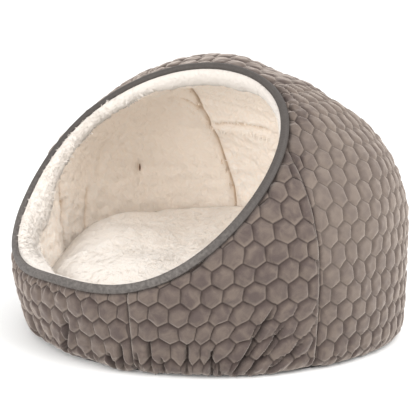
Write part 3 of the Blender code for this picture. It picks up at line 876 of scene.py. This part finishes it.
HEM_DRAWN_OUT = 0.12        # the lowest cells are this much taller, up to this height
HEM_DRAWN_HEIGHT = 0.032

# Where the crown has slumped: disc place of the middle, reach, depth
SLUMPS = (
    (-0.27, -0.07, 0.13, 0.0058),
    (0.14, 0.13, 0.11, 0.0062),
    (0.30, 0.21, 0.08, 0.0030),
)

# Where the pile is crushed dark: disc place of the middle, reach, share
CRUSHED_PATCHES = (
    (0.245, -0.030, 0.045, 0.60),
    (0.345, -0.060, 0.050, 0.35),
    (0.450, -0.145, 0.040, 0.30),
)
PAINTED_LIGHT_REACH = (-0.02, 0.16)       # heights between which the sides are painted paler and paler, as painted light
TAPE_PROUD = 0.0046         # behind on the left the velvet lies this much below the tape
TAPE_PROUD_HEADING = math.radians(152)
TAPE_PROUD_REACH = (0.35, 0.90)
TAPE_PROUD_WIDTH = 0.040
TAPE_PRESS = (0.0040, 0.0045)       # the tape presses the velvet's edge in: depth, half width
TAPE_GATHERS_ROUND = 61
TAPE_GATHERS_SWING = (2.0, 7.0)     # by how much their places swing, times round
TAPE_GATHERS_EASE = (0.6, 0.4, 3.0)     # share of the depth, share that swings, times round
TAPE_GATHER_DEPTH = 0.0020
TAPE_GATHER_OFF = (0.007, 0.010)
TAPE_SHADE = 0.75           # painted shadow of the tape on the velvet along its edge, this far off the mouth
TAPE_SHADE_OFF = 0.0052
TAPE_SHADE_HALF_WIDTH = 0.0014

# Where a cell's middle lies in each panel, the cell's width and the height of a row. Across a side
# panel it is in degrees, and elsewhere all is in metres.
FRONT_RIGHT_CELLS = (-0.0142, 0.0219, 0.048, 0.0197)
FRONT_LEFT_CELLS = (0.0350, 0.0209, 0.066, 0.0200)
SIDE_CELLS = (-1.2, 4.9, 0.041, 0.0199)
CROWN_CELLS = (-0.0121, 0.0213, 0.3085, 0.0196)
FRONT_RIGHT_START = -20.0   # headings that the cells' columns are counted from
FRONT_LEFT_START = -105.0
FRONT_RIGHT_RISE = 0.0035   # its rows rise by this towards the side seam, over this run
FRONT_RIGHT_RISE_RUN = (-0.165, 0.0)
ROOF_RUN = 0.183            # radius of the arc that the side's rows follow over the roof
CROWN_ACROSS_RUN = 0.211    # radii of the ball that the crown's rows follow
CROWN_ALONG_RUN = 0.199
CROWN_SIDE_END = 3.1        # the rows are followed this far round, just under half a turn
PLAN_POINTS = 6001

plan_turns = np.linspace(-math.tau, 2 * math.tau, PLAN_POINTS)
plan = dome_surface(WALL_START * toward(plan_turns))
plan_run = np.concatenate([[0.0], np.cumsum(np.linalg.norm(np.diff(plan[:, :2], axis=0), axis=1))])


def round_the_wall(turn, start_degrees):
    """Length round the top of the wall from a heading to each turn."""
    start = np.interp(math.radians(start_degrees), plan_turns, plan_run)
    return np.interp(turn, plan_turns, plan_run) - start


def up_the_body(points):
    """Length from the floor up the wall and on over the roof, by a point's height."""
    height = points[..., 2]
    roof = np.clip((height - WALL_HEIGHT) / (CROWN_HEIGHT - WALL_HEIGHT), 0.0, 1.0)
    return np.minimum(height, WALL_HEIGHT) + ROOF_RUN * np.arcsin(roof ** (1.0 / CROWN_ROUNDNESS))


def up_the_front(points):
    """The same in front, where the lowest cells are drawn out down to the floor."""
    return up_the_body(points) + HEM_DRAWN_OUT * np.maximum(0.0, HEM_DRAWN_HEIGHT - points[..., 2])


def in_cells(across, along, cells):
    """Lengths across and along the cloth, counted in a panel's cells and rows."""
    return (across - cells[0]) / cells[1], (along - cells[2]) / cells[3]


def front_right_cells(disc, turn, points):
    run = round_the_wall(turn, FRONT_RIGHT_START)
    lean = FOLD_LEAN * smooth(np.degrees(turn), *FOLD_LEAN_HEADINGS)
    run = run + lean * np.maximum(0.0, FOLD_LEAN_TOP - points[..., 2])
    rise = FRONT_RIGHT_RISE * smooth(run, *FRONT_RIGHT_RISE_RUN)
    return in_cells(run, up_the_front(points) - rise, FRONT_RIGHT_CELLS)


def front_left_cells(disc, turn, points):
    return in_cells(round_the_wall(turn, FRONT_LEFT_START), up_the_front(points), FRONT_LEFT_CELLS)


def side_cells(disc, turn, points):
    heading = np.degrees(np.arctan2(points[..., 1], np.abs(points[..., 0])))
    return in_cells(heading, up_the_body(points), SIDE_CELLS)


def crown_cells(disc, turn, points):
    reach = np.linalg.norm(disc, axis=-1)
    over = np.clip(math.pi / 2 * (1.0 - reach / WALL_START), 0.0, None)
    turn = (turn + math.pi / 2) % math.tau - math.pi / 2
    side = np.clip(round_the_wall(turn, 90.0) / CROWN_ACROSS_RUN, -CROWN_SIDE_END, CROWN_SIDE_END)
    wall = WALL_HEIGHT * np.clip((reach - WALL_START) / (1.0 - WALL_START), 0.0, 1.0)
    bowed = np.arcsin(np.clip(np.cos(over) * np.sin(side), -1.0, 1.0))
    across = CROWN_ACROSS_RUN * np.where(over > 0.0, bowed, side)
    along = CROWN_ALONG_RUN * np.arctan2(np.sin(over), np.cos(over) * np.cos(side)) * (over > 0.0) - wall
    return in_cells(across, along, CROWN_CELLS)


gather_draw = np.random.default_rng(51)
gathers = []
for k in range(GATHER_COUNT):
    top = (k + gather_draw.uniform(-GATHER_STRAY, GATHER_STRAY)) * 360.0 / GATHER_COUNT
    in_front = smooth(abs((top - FRONT_HEADING + 180.0) % 360.0 - 180.0), *FRONT_REACH)
    height = gather_draw.uniform(*GATHER_TOP)
    foot = top + gather_draw.uniform(-GATHER_LEAN, GATHER_LEAN)
    depth = gather_draw.uniform(*GATHER_DEPTH) * between((GATHER_BEHIND, 1.0), in_front)
    gathers.append((top, height, foot, GATHER_FOOT, depth, gather_draw.uniform(*GATHER_HALF_WIDTH)))


def wall_folds(points, inside):
    """Depth of the deep folds and of the gathers at the hem, for points on the wall. A fold follows
    the stitched lines beside it, given how far each point lies inside its cell."""
    heading = np.degrees(np.arctan2(points[..., 1], points[..., 0]))
    press = np.zeros(heading.shape)
    swell = np.zeros(heading.shape)
    ridge, ridge_place, ridge_width = FOLD_RIDGE
    for number, fold in enumerate((*FOLDS, *gathers)):
        top_heading, top_height, foot_heading, foot_height, depth, half_width = fold
        run = math.radians(foot_heading - top_heading) * HALF_WIDTH
        fall = foot_height - top_height
        across = np.radians((heading - top_heading + 180.0) % 360.0 - 180.0) * HALF_WIDTH
        down = points[..., 2] - top_height
        share = (across * run + down * fall) / (run ** 2 + fall ** 2)
        kept = np.clip(share, 0.0, 1.0)
        distance = np.hypot(across - kept * run, down - kept * fall)
        fade = smooth(share, *FOLD_FADE)
        dip = bell(distance, half_width)
        if number < len(FOLDS):
            on_stitch = bell(distance, FOLD_ON_STITCH[0] * half_width) * bell(inside, FOLD_ON_STITCH[1])
            dip = np.maximum(FOLD_OFF_STITCH * dip, on_stitch)
        shoulders = bell(distance - ridge_place * half_width, ridge_width * half_width)
        press = np.maximum(press, depth * dip * fade)
        swell = np.maximum(swell, depth * ridge * shoulders * fade)
    return press, swell


def round_patch(disc, east, north, size):
    """A soft round patch on the disc, 1 in its middle."""
    return bell(np.linalg.norm(disc - (east, north), axis=-1), size)


def velvet_face(disc, plain, inside, number, press, brushed):
    """Depth of a panel's face, and its painted light and tone: painted shade in folds, along seams and
    along the tape's edge, darker crushed patches, and below 0 paler painted light.
    """
    from_mouth = mouth_distance(plain)
    from_seam = seam_distance(plain)
    press, swell = press
    puff = between(PUFF_SPREAD, np.sin(number) * CELL_SCATTER % 1.0) * (1.0 - bell(inside, PUFF_WIDTH))
    relief = sum(depth * bell(inside, width) for depth, width in STITCH_DITCH) - PUFF_HEIGHT * puff
    relief = relief * smooth(from_seam, *SEAM_PUFF_REACH) * (1.0 - PUFF_FLATTENED * brushed)
    inset = VELVET_FACE + relief * between((FLOOR_PUFF, 1.0), smooth(plain[..., 2], *FLOOR_PUFF_REACH))
    way = round_mouth(disc)
    swing = TAPE_GATHERS_SWING[0] * np.sin(TAPE_GATHERS_SWING[1] * way)
    ease = TAPE_GATHERS_EASE[0] + TAPE_GATHERS_EASE[1] * np.sin(TAPE_GATHERS_EASE[2] * way)
    drawn = np.sin(TAPE_GATHERS_ROUND * way + swing) * ease
    gathered = np.maximum(drawn, 0.0) * bell(from_mouth - TAPE_GATHER_OFF[0], TAPE_GATHER_OFF[1])
    inset += TAPE_GATHER_DEPTH * gathered
    crinkled = CELL_CRINKLE[0] * wander(plain, CELL_CRINKLE[1], 25) * (1.0 - bell(inside, CELL_CRINKLE[2]))
    inset += crinkled + CLOTH_WAVE[0] * wander(plain, CLOTH_WAVE[1], 26)
    inset += sum(depth * bell(from_seam, width) for depth, width in SEAM_DITCH)
    inset += TAPE_PRESS[0] * bell(from_mouth - TAPE_TUCK, TAPE_PRESS[1])
    sunk = near_heading(disc, TAPE_PROUD_HEADING, TAPE_PROUD_REACH)
    inset += TAPE_PROUD * sunk * bell(from_mouth, TAPE_PROUD_WIDTH)
    inset += (press - swell) * smooth(from_seam, 0.0, SEAM_PUFF_REACH[1])
    for *patch, depth in SLUMPS:
        inset += depth * round_patch(disc, *patch)
    # Painted shade in the folds, along the seams and in the tape's shadow, and darker crushed patches
    dark = np.clip(press / FOLD_DARK_DEPTH, 0.0, 1.0) * FOLD_DARK_SHARE
    dark = np.maximum(dark, SEAM_SHADE * bell(from_seam, SEAM_SHADE_HALF_WIDTH))
    dark = np.maximum(dark, TAPE_SHADE * bell(from_mouth - TAPE_SHADE_OFF, TAPE_SHADE_HALF_WIDTH))
    for *patch, share in CRUSHED_PATCHES:
        dark = np.maximum(dark, share * round_patch(disc, *patch))
    # Painted light: the sides paler higher up
    paler = brushed * smooth(plain[..., 2], *PAINTED_LIGHT_REACH) * (1.0 - dark)
    return np.minimum(inset, VELVET_THICKNESS - VELVET_LEAST), dark - paler


def velvet_panel(name, first_seam, last_seam, hem_run, wall_run, cells, brushed, node):
    """One quilted panel, from under the tape down to the hem that curls in at the floor. The given
    share flattens its relief and makes its pattern fainter, and paints it paler higher up, as painted
    light."""
    near = TAPE_TUCK + VELVET_PITCH * np.arange(VELVET_NEAR_ROWS)
    columns = whole(hem_run, VELVET_PITCH, VELVET_STEP)
    far_rows = whole(wall_run, VELVET_PITCH, VELVET_STEP) - (len(near) - 1 + HEM_ROWS)
    disc = column_fan(first_seam, last_seam, columns, near, far_rows)
    curl = between((HEM_REACH, 1.0), np.arange(1, HEM_ROWS + 1) / HEM_ROWS)
    disc = np.concatenate([disc, disc[:, -1:] * curl[None, :, None] / HEM_REACH], axis=1)
    plain = dome_surface(disc, True)
    turn = np.unwrap(np.unwrap(np.arctan2(disc[..., 1], disc[..., 0]), axis=1), axis=0)
    middle_heading = math.radians((SEAMS[first_seam][1] + SEAMS[last_seam][1]) / 2)
    turn += math.tau * np.round((middle_heading - turn[turn.shape[0] // 2, -1]) / math.tau)
    across, along = cells(disc, turn, plain)
    for k, (share, size) in enumerate(CELL_STRAY):
        across = across + share * wander(plain, size, 21 + k)
        along = along + share * wander(plain, size, 23 + k)
    inside, number = honeycomb(across, along)
    inset, painted_light_and_tone = velvet_face(disc, plain, inside, number, wall_folds(plain, inside), brushed)
    front = below_surface(disc, inset, True)
    front[..., 2] = np.maximum(front[..., 2], HEM_CLEAR)
    rear = below_surface(disc, VELVET_THICKNESS, True)
    points, faces = close_sheet(front, rear, VELVET_STEP, True)
    cloth_uv = both_sides(np.stack([across, along], axis=-1), VELVET_STEP)
    painted_light_and_tone = both_sides(painted_light_and_tone, VELVET_STEP)
    piece = add_piece(name, points, faces, velvet, painted_light_and_tone, cloth_uv)
    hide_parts(node)


velvet_panel("velvet_front_left", "left_side", "front_again", 0.37, 0.10, front_left_cells, 0.0,
             "outer_front_left")
velvet_panel("velvet_front_right", "front", "right_side", 0.20, 0.14, front_right_cells, 0.0,
             "outer_front_right")
velvet_panel("velvet_right", "right_side", "right_back", 0.29, 0.30, side_cells, 0.30,
             "outer_side_right")
velvet_panel("velvet_back", "right_back", "left_back", 0.22, 0.36, crown_cells, 0.08,
             "outer_crown_back")
velvet_panel("velvet_left", "left_back", "left_side", 0.29, 0.30, side_cells, 0.30,
             "outer_side_left")

# --- Bound edge ---------------------------------------------------------------
# A dark grey woven tape, folded over the edge of velvet and lining all round the mouth and sewn
# down near its lower side. It is a little slimmer behind, where the edge stands up.
TAPE_HALF_WIDTH = 0.0046
TAPE_HALF_DEPTH = 0.0042
TAPE_SQUARE = 0.85          # below 1 the section is squarer than an oval
TAPE_SIDES = 28
TAPE_ROUND = 620
TAPE_MIDDLE_DEPTH = VELVET_THICKNESS / 2 - 0.0004
TAPE_ACROSS = 0.005         # how far the cloth's own measure runs for each radian of the section
TAPE_RIPPLE = 0.05
TAPE_RIPPLE_SIZE = 0.035
TAPE_STITCH_DEPTH = 0.0007
TAPE_STITCH_PLACE = 0.62    # share of the half width
TAPE_STITCH_HALF_WIDTH = 0.0007
TAPE_SLIMMER_BEHIND = 0.12
TAPE_JOIN_HEADING = math.radians(141.0)
TAPE_JOIN_REACH = 0.010
TAPE_JOIN_SWELL = (0.16, 0.12)      # where its ends overlap: outwards, along the cloth
TAPE_UPPER_DARK_SHARE = 0.8      # this much of the darker colour, higher up
TAPE_UPPER_DARK_HEIGHTS = (0.10, 0.20)

# Woven polyester tape: fine ribs across the tape, a soft shine along its rounded middle, paler
# worn patches where the animal steps over it, and a darker colour higher up round the mouth
TAPE_GREY = "#47423F"
TAPE_WORN = "#5D5854"
TAPE_UPPER_DARK = "#3A3532"
TAPE_RIB_MM = 1.1
TAPE_RIB_HEIGHT = 0.0003
TAPE_WEAR_MM = 10 / 3
TAPE_WEAR_RANGE = (0.38, 0.66)

tape_cloth, tree, shader = new_material("woven_grey_tape", Roughness=0.55, Specular_IOR_Level=0.3)
cloth = add_node(tree, "UVMap", uv_map="cloth")
place = add_node(tree, "TexCoord", output="Object")
ribs = add_node(tree, "TexWave", {
    "Vector": cloth, "Scale": 1000 / TAPE_RIB_MM / math.tau, "Distortion": 0.6, "Detail": 1.0,
    "Detail Scale": 0.4,
}, "Fac", bands_direction="X")
clouds = add_node(tree, "TexNoise", {"Vector": place, "Scale": 1000 / TAPE_WEAR_MM, "Detail": 3.0})
worn = add_node(tree, "MapRange", (clouds, *TAPE_WEAR_RANGE))
# darker higher up round the mouth
upper_dark = add_node(tree, "Attribute", output="Fac", attribute_name="painted_light_and_tone")
tint = add_node(tree, "Mix", {0: worn, 6: linear(TAPE_GREY), 7: linear(TAPE_WORN)}, 2, data_type="RGBA")
tint = add_node(tree, "Mix", {0: upper_dark, 6: tint, 7: linear(TAPE_UPPER_DARK)}, 2, data_type="RGBA")
woven = add_node(tree, "Bump", {"Height": ribs, "Distance": TAPE_RIB_HEIGHT, "Strength": 0.5})
link_look(tree, shader, tint, woven)

headings = around(TAPE_ROUND)
middle = mouth_edge(headings)
centre = below_surface(middle, TAPE_MIDDLE_DEPTH)
outward = (centre - below_surface(middle, TAPE_MIDDLE_DEPTH + 0.001)) / 0.001
run = np.roll(centre, -1, axis=0) - np.roll(centre, 1, axis=0)
run /= np.linalg.norm(run, axis=1)[:, None]
along_cloth = np.cross(outward, run)
length = np.concatenate([[0.0], np.cumsum(np.linalg.norm(np.diff(centre, axis=0), axis=1))])
sides = around(TAPE_SIDES)
section = np.sign(toward(sides)) * np.abs(toward(sides)) ** TAPE_SQUARE * (TAPE_HALF_DEPTH, TAPE_HALF_WIDTH)
ripple = 1.0 + TAPE_RIPPLE * wander(centre, TAPE_RIPPLE_SIZE, 31)
slim = 1.0 - TAPE_SLIMMER_BEHIND * ridden_up(middle)
reach_out = section[None, :, 0] * (ripple * slim)[:, None]
reach_along = section[None, :, 1] * slim[:, None]
from_stitch = np.abs(reach_along) - TAPE_STITCH_PLACE * TAPE_HALF_WIDTH
reach_out = reach_out - TAPE_STITCH_DEPTH * bell(from_stitch, TAPE_STITCH_HALF_WIDTH) * (reach_out > 0.0)
join = bell((headings - TAPE_JOIN_HEADING)[:, None], TAPE_JOIN_REACH)
reach_out = reach_out * (1.0 + TAPE_JOIN_SWELL[0] * join)
reach_along = reach_along * (1.0 + TAPE_JOIN_SWELL[1] * join)
points = centre[:, None] + reach_out[..., None] * outward[:, None]
points = points + reach_along[..., None] * along_cloth[:, None]
index = np.arange(TAPE_ROUND * TAPE_SIDES).reshape(TAPE_ROUND, TAPE_SIDES).T
across = sides[None] * TAPE_ACROSS
cloth_uv = np.stack(np.broadcast_arrays(length[:, None], across), axis=-1).reshape(-1, 2)
# darker higher up round the mouth
darker_higher = np.repeat(TAPE_UPPER_DARK_SHARE * smooth(centre[:, 2], *TAPE_UPPER_DARK_HEIGHTS), TAPE_SIDES)
binding = add_piece(
    "mouth_binding", points.reshape(-1, 3), ring_faces(np.concatenate([index, index[:1]])), tape_cloth,
    darker_higher, cloth_uv,
)
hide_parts("rim_binding")

# --- Cushion ------------------------------------------------------------------
# One loose round cushion of the same plush over soft filling, sewn round its side. It swells
# against the walls and rides up at the back.
CUSHION_CLEARANCE = 0.0045
CUSHION_SEAM_HEIGHT = 0.046
CUSHION_CROWN = 0.032
CUSHION_TILT = 0.028
CUSHION_UPHILL = math.radians(128)
CUSHION_SHOULDER = (math.radians(194), 0.42, 0.0085)    # it is squeezed up here: heading, reach, rise
CUSHION_FULLNESS = 0.6      # below 1 its side stands steeper
CUSHION_TOP_FLATNESS = 9
CUSHION_UNDER_FLATNESS = 7
CUSHION_CONTACT = 1.25
CUSHION_BOTTOM = BASE_THICKNESS + 0.0005
CUSHION_AROUND = 120
CUSHION_RINGS = 44
CUSHION_VOXEL = 0.006
CUSHION_PRESSURE = 4.0
CUSHION_QUALITY = 5
CUSHION_FRAMES = 20
CUSHION_CAP = 0.005         # the farthest that the filling may push the cover out
CUSHION_UPPER = (0.035, 0.070)      # heights between which the lumps of the top set in
CUSHION_LUMPS = ((0.0035, 0.15, 41), (0.0016, 0.05, 42), (0.0006, 0.016, 43))   # height, size, seed
CUSHION_TUCK = 0.012        # the seam is drawn in this share of the way to the middle
CUSHION_TUCK_HALF_WIDTH = 0.0035
CUSHION_SIDE = 0.6          # share of the half width outside which the seam lies
CUSHION_PAINTED_SHADE = (-0.66, -0.33)  # painted grey shade on its pile, more in front and less behind
CUSHION_SHADE_REACH = (-0.12, 0.09)


def cushion_room(heading, height, clearance):
    """Floor plan points just clear of the lining, at each heading and height."""
    drop = 1.0 - np.clip(height, 0.0, WALL_HEIGHT) / WALL_HEIGHT
    reach = between((WALL_START, 1.0), drop)[..., None]
    return below_surface(reach * toward(heading), LINING_FACE + clearance)[..., :2]


turns = around(CUSHION_AROUND)
slopes = np.linspace(0.0, math.pi, CUSHION_RINGS + 1)[1:-1]
heading, slope = np.meshgrid(turns, slopes, indexing="ij")
share = np.sin(slope) ** CUSHION_FULLNESS
seam_height = CUSHION_SEAM_HEIGHT + CUSHION_TILT * share * np.cos(heading - CUSHION_UPHILL)
seam_height += CUSHION_SHOULDER[2] * share * bell(heading - CUSHION_SHOULDER[0], CUSHION_SHOULDER[1])
top = seam_height + CUSHION_CROWN * (1.0 - share ** CUSHION_TOP_FLATNESS)
fall = np.minimum(1.0, CUSHION_CONTACT * (1.0 - share ** CUSHION_UNDER_FLATNESS))
height = np.where(slope < math.pi / 2, top, seam_height - (seam_height - CUSHION_BOTTOM) * fall)
plan = cushion_room(heading, height, CUSHION_CLEARANCE) * share[..., None]
poles = [[0.0, 0.0, CUSHION_SEAM_HEIGHT + CUSHION_CROWN], [0.0, 0.0, CUSHION_BOTTOM]]
points = np.concatenate([np.concatenate([plan, height[..., None]], axis=-1).reshape(-1, 3), poles])
index = np.arange(height.size).reshape(height.shape)
onward = np.roll(index, -1, axis=0)
quads = np.stack([onward[:, :-1], onward[:, 1:], index[:, 1:], index[:, :-1]], axis=-1)
faces = quads.reshape(-1, 4).tolist()
faces += [(a, index.size, b) for a, b in zip(index[:, 0].tolist(), onward[:, 0].tolist())]
faces += [(a, index.size + 1, b) for a, b in zip(onward[:, -1].tolist(), index[:, -1].tolist())]
cushion = add_piece("plush_cushion", points, faces, plush)


def apply_modifiers(piece):
    """Keeps a piece's mesh as its modifiers make it, and drops them."""
    graph = bpy.context.evaluated_depsgraph_get()
    graph.update()
    made = bpy.data.meshes.new_from_object(piece.evaluated_get(graph))
    piece.modifiers.clear()
    piece.data = made


def read_all(items, name, width):
    """One property of all the points or faces of a mesh, as rows of the given width."""
    values = np.zeros(len(items) * width)
    items.foreach_get(name, values)
    return values.reshape(-1, width)


def cushion_pile(points):
    """Painted shade on the cushion's pile: more in front, and less towards the back."""
    return between(CUSHION_PAINTED_SHADE, smooth(points[:, 1], *CUSHION_SHADE_REACH))


remesh = cushion.modifiers.new("remesh", "REMESH")
remesh.mode = "VOXEL"
remesh.voxel_size = CUSHION_VOXEL
apply_modifiers(cushion)
start = read_all(cushion.data.vertices, "co", 3)
filling = cushion.modifiers.new("filling", "CLOTH")
filling.settings.quality = CUSHION_QUALITY
filling.settings.use_pressure = True
filling.settings.uniform_pressure_force = CUSHION_PRESSURE
filling.settings.effector_weights.gravity = 0.0
filling.collision_settings.use_collision = False
for number in range(1, CUSHION_FRAMES + 1):
    bpy.context.scene.frame_set(number)
apply_modifiers(cushion)
bpy.context.scene.frame_set(1)
moved = read_all(cushion.data.vertices, "co", 3) - start
far = np.linalg.norm(moved, axis=1)[:, None]
rest = start + moved * np.minimum(1.0, CUSHION_CAP / np.maximum(far, 1e-9))
local = rest - PLAN_SHIFT
upper = smooth(rest[:, 2], *CUSHION_UPPER)
for size, width, seed in CUSHION_LUMPS:
    rest[:, 2] += upper * size * wander(local, width, seed)
uphill = local[:, 0] * math.cos(CUSHION_UPHILL) + local[:, 1] * math.sin(CUSHION_UPHILL)
from_seam = rest[:, 2] - CUSHION_SEAM_HEIGHT - CUSHION_TILT * uphill / BACK_DEPTH
at_side = np.hypot(local[:, 0], local[:, 1]) / HALF_WIDTH > CUSHION_SIDE
tuck = CUSHION_TUCK * bell(from_seam, CUSHION_TUCK_HALF_WIDTH) * at_side
rest[:, :2] -= local[:, :2] * tuck[:, None]
rest[:, 2] = np.maximum(rest[:, 2], CUSHION_BOTTOM)
cushion.data.vertices.foreach_set("co", rest.ravel())
cushion.data.update()
finer = cushion.modifiers.new("finer", "SUBSURF")
finer.levels = 1
finer.render_levels = 1
apply_modifiers(cushion)
cushion.data.shade_smooth()
keep_painted_light_and_tone(cushion.data, cushion_pile(read_all(cushion.data.vertices, "co", 3)))
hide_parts("cushion")

# The cushion's own locks of pile, on all that can be seen of it, brushed this way and that
CUSHION_LOCKS = 7000
CUSHION_FACING = (-0.1, 0.3)        # upward share of a face's direction, from no locks to all
CUSHION_BRUSHED = 2.0       # how far round the brushing turns, over patches of this size
CUSHION_BRUSHED_SIZE = 0.16
CUSHION_ROOT_STRAY = 0.0010
CUSHION_STAND = 0.45        # share of the wall's

draw = np.random.default_rng(47)
centres = read_all(cushion.data.polygons, "center", 3) - PLAN_SHIFT
normals = read_all(cushion.data.polygons, "normal", 3)
areas = read_all(cushion.data.polygons, "area", 1)[:, 0] * smooth(normals[:, 2], *CUSHION_FACING)
chosen = draw.choice(len(areas), CUSHION_LOCKS, p=areas / areas.sum())
brushed = CUSHION_BRUSHED * wander(centres[chosen], CUSHION_BRUSHED_SIZE, 48)
nap = np.pad(toward(brushed), ((0, 0), (0, 1)))
roots = centres[chosen] + draw.normal(size=(CUSHION_LOCKS, 3)) * CUSHION_ROOT_STRAY
stand = np.full(CUSHION_LOCKS, PILE_STAND[1] * CUSHION_STAND)
over = cushion_pile(roots)
pile_locks("plush_cushion_pile", roots, normals[chosen], nap, stand, over, 49)

# --- Floor and light ----------------------------------------------------------
# A plain pale studio floor in even white surroundings, with one wide soft light from the upper
# right and a second from in front, low enough to reach into the cave.
FLOOR_WHITE = "#F2F2F1"
FLOOR_HALF = 6.0
SURROUNDINGS = 1.3

floor_paint = new_material("pale_studio_floor", Roughness=0.9, Base_Color=linear(FLOOR_WHITE))[0]
mesh = bpy.data.meshes.new("floor")
corners = [(x * FLOOR_HALF, y * FLOOR_HALF, 0.0) for x, y in ((-1, -1), (1, -1), (1, 1), (-1, 1))]
mesh.from_pydata(corners, [], [(0, 1, 2, 3)])
mesh.materials.append(floor_paint)
floor = bpy.data.objects.new("floor", mesh)
bpy.context.scene.collection.objects.link(floor)

world = bpy.data.worlds.new("studio")
bpy.context.scene.world = world
world.use_nodes = True
world.node_tree.nodes["Background"].inputs["Color"].default_value = linear("#FFFFFF")
world.node_tree.nodes["Background"].inputs["Strength"].default_value = SURROUNDINGS

# Direction that the light comes from, distance, width, watts
for name, direction, distance, width, watts in (
    ("key", (1.0, 0.10, 0.75), 1.6, 1.2, 20.0),
    ("front", (0.15, -1.0, 0.28), 1.9, 1.4, 21.5),
):
    light = bpy.data.objects.new(name, bpy.data.lights.new(name, "AREA"))
    light.data.size = width
    light.data.energy = watts
    direction = Vector(direction).normalized()
    light.location = BODY_MIDDLE + direction * distance
    light.rotation_euler = direction.to_track_quat("Z", "Y").to_euler()
    bpy.context.scene.collection.objects.link(light)
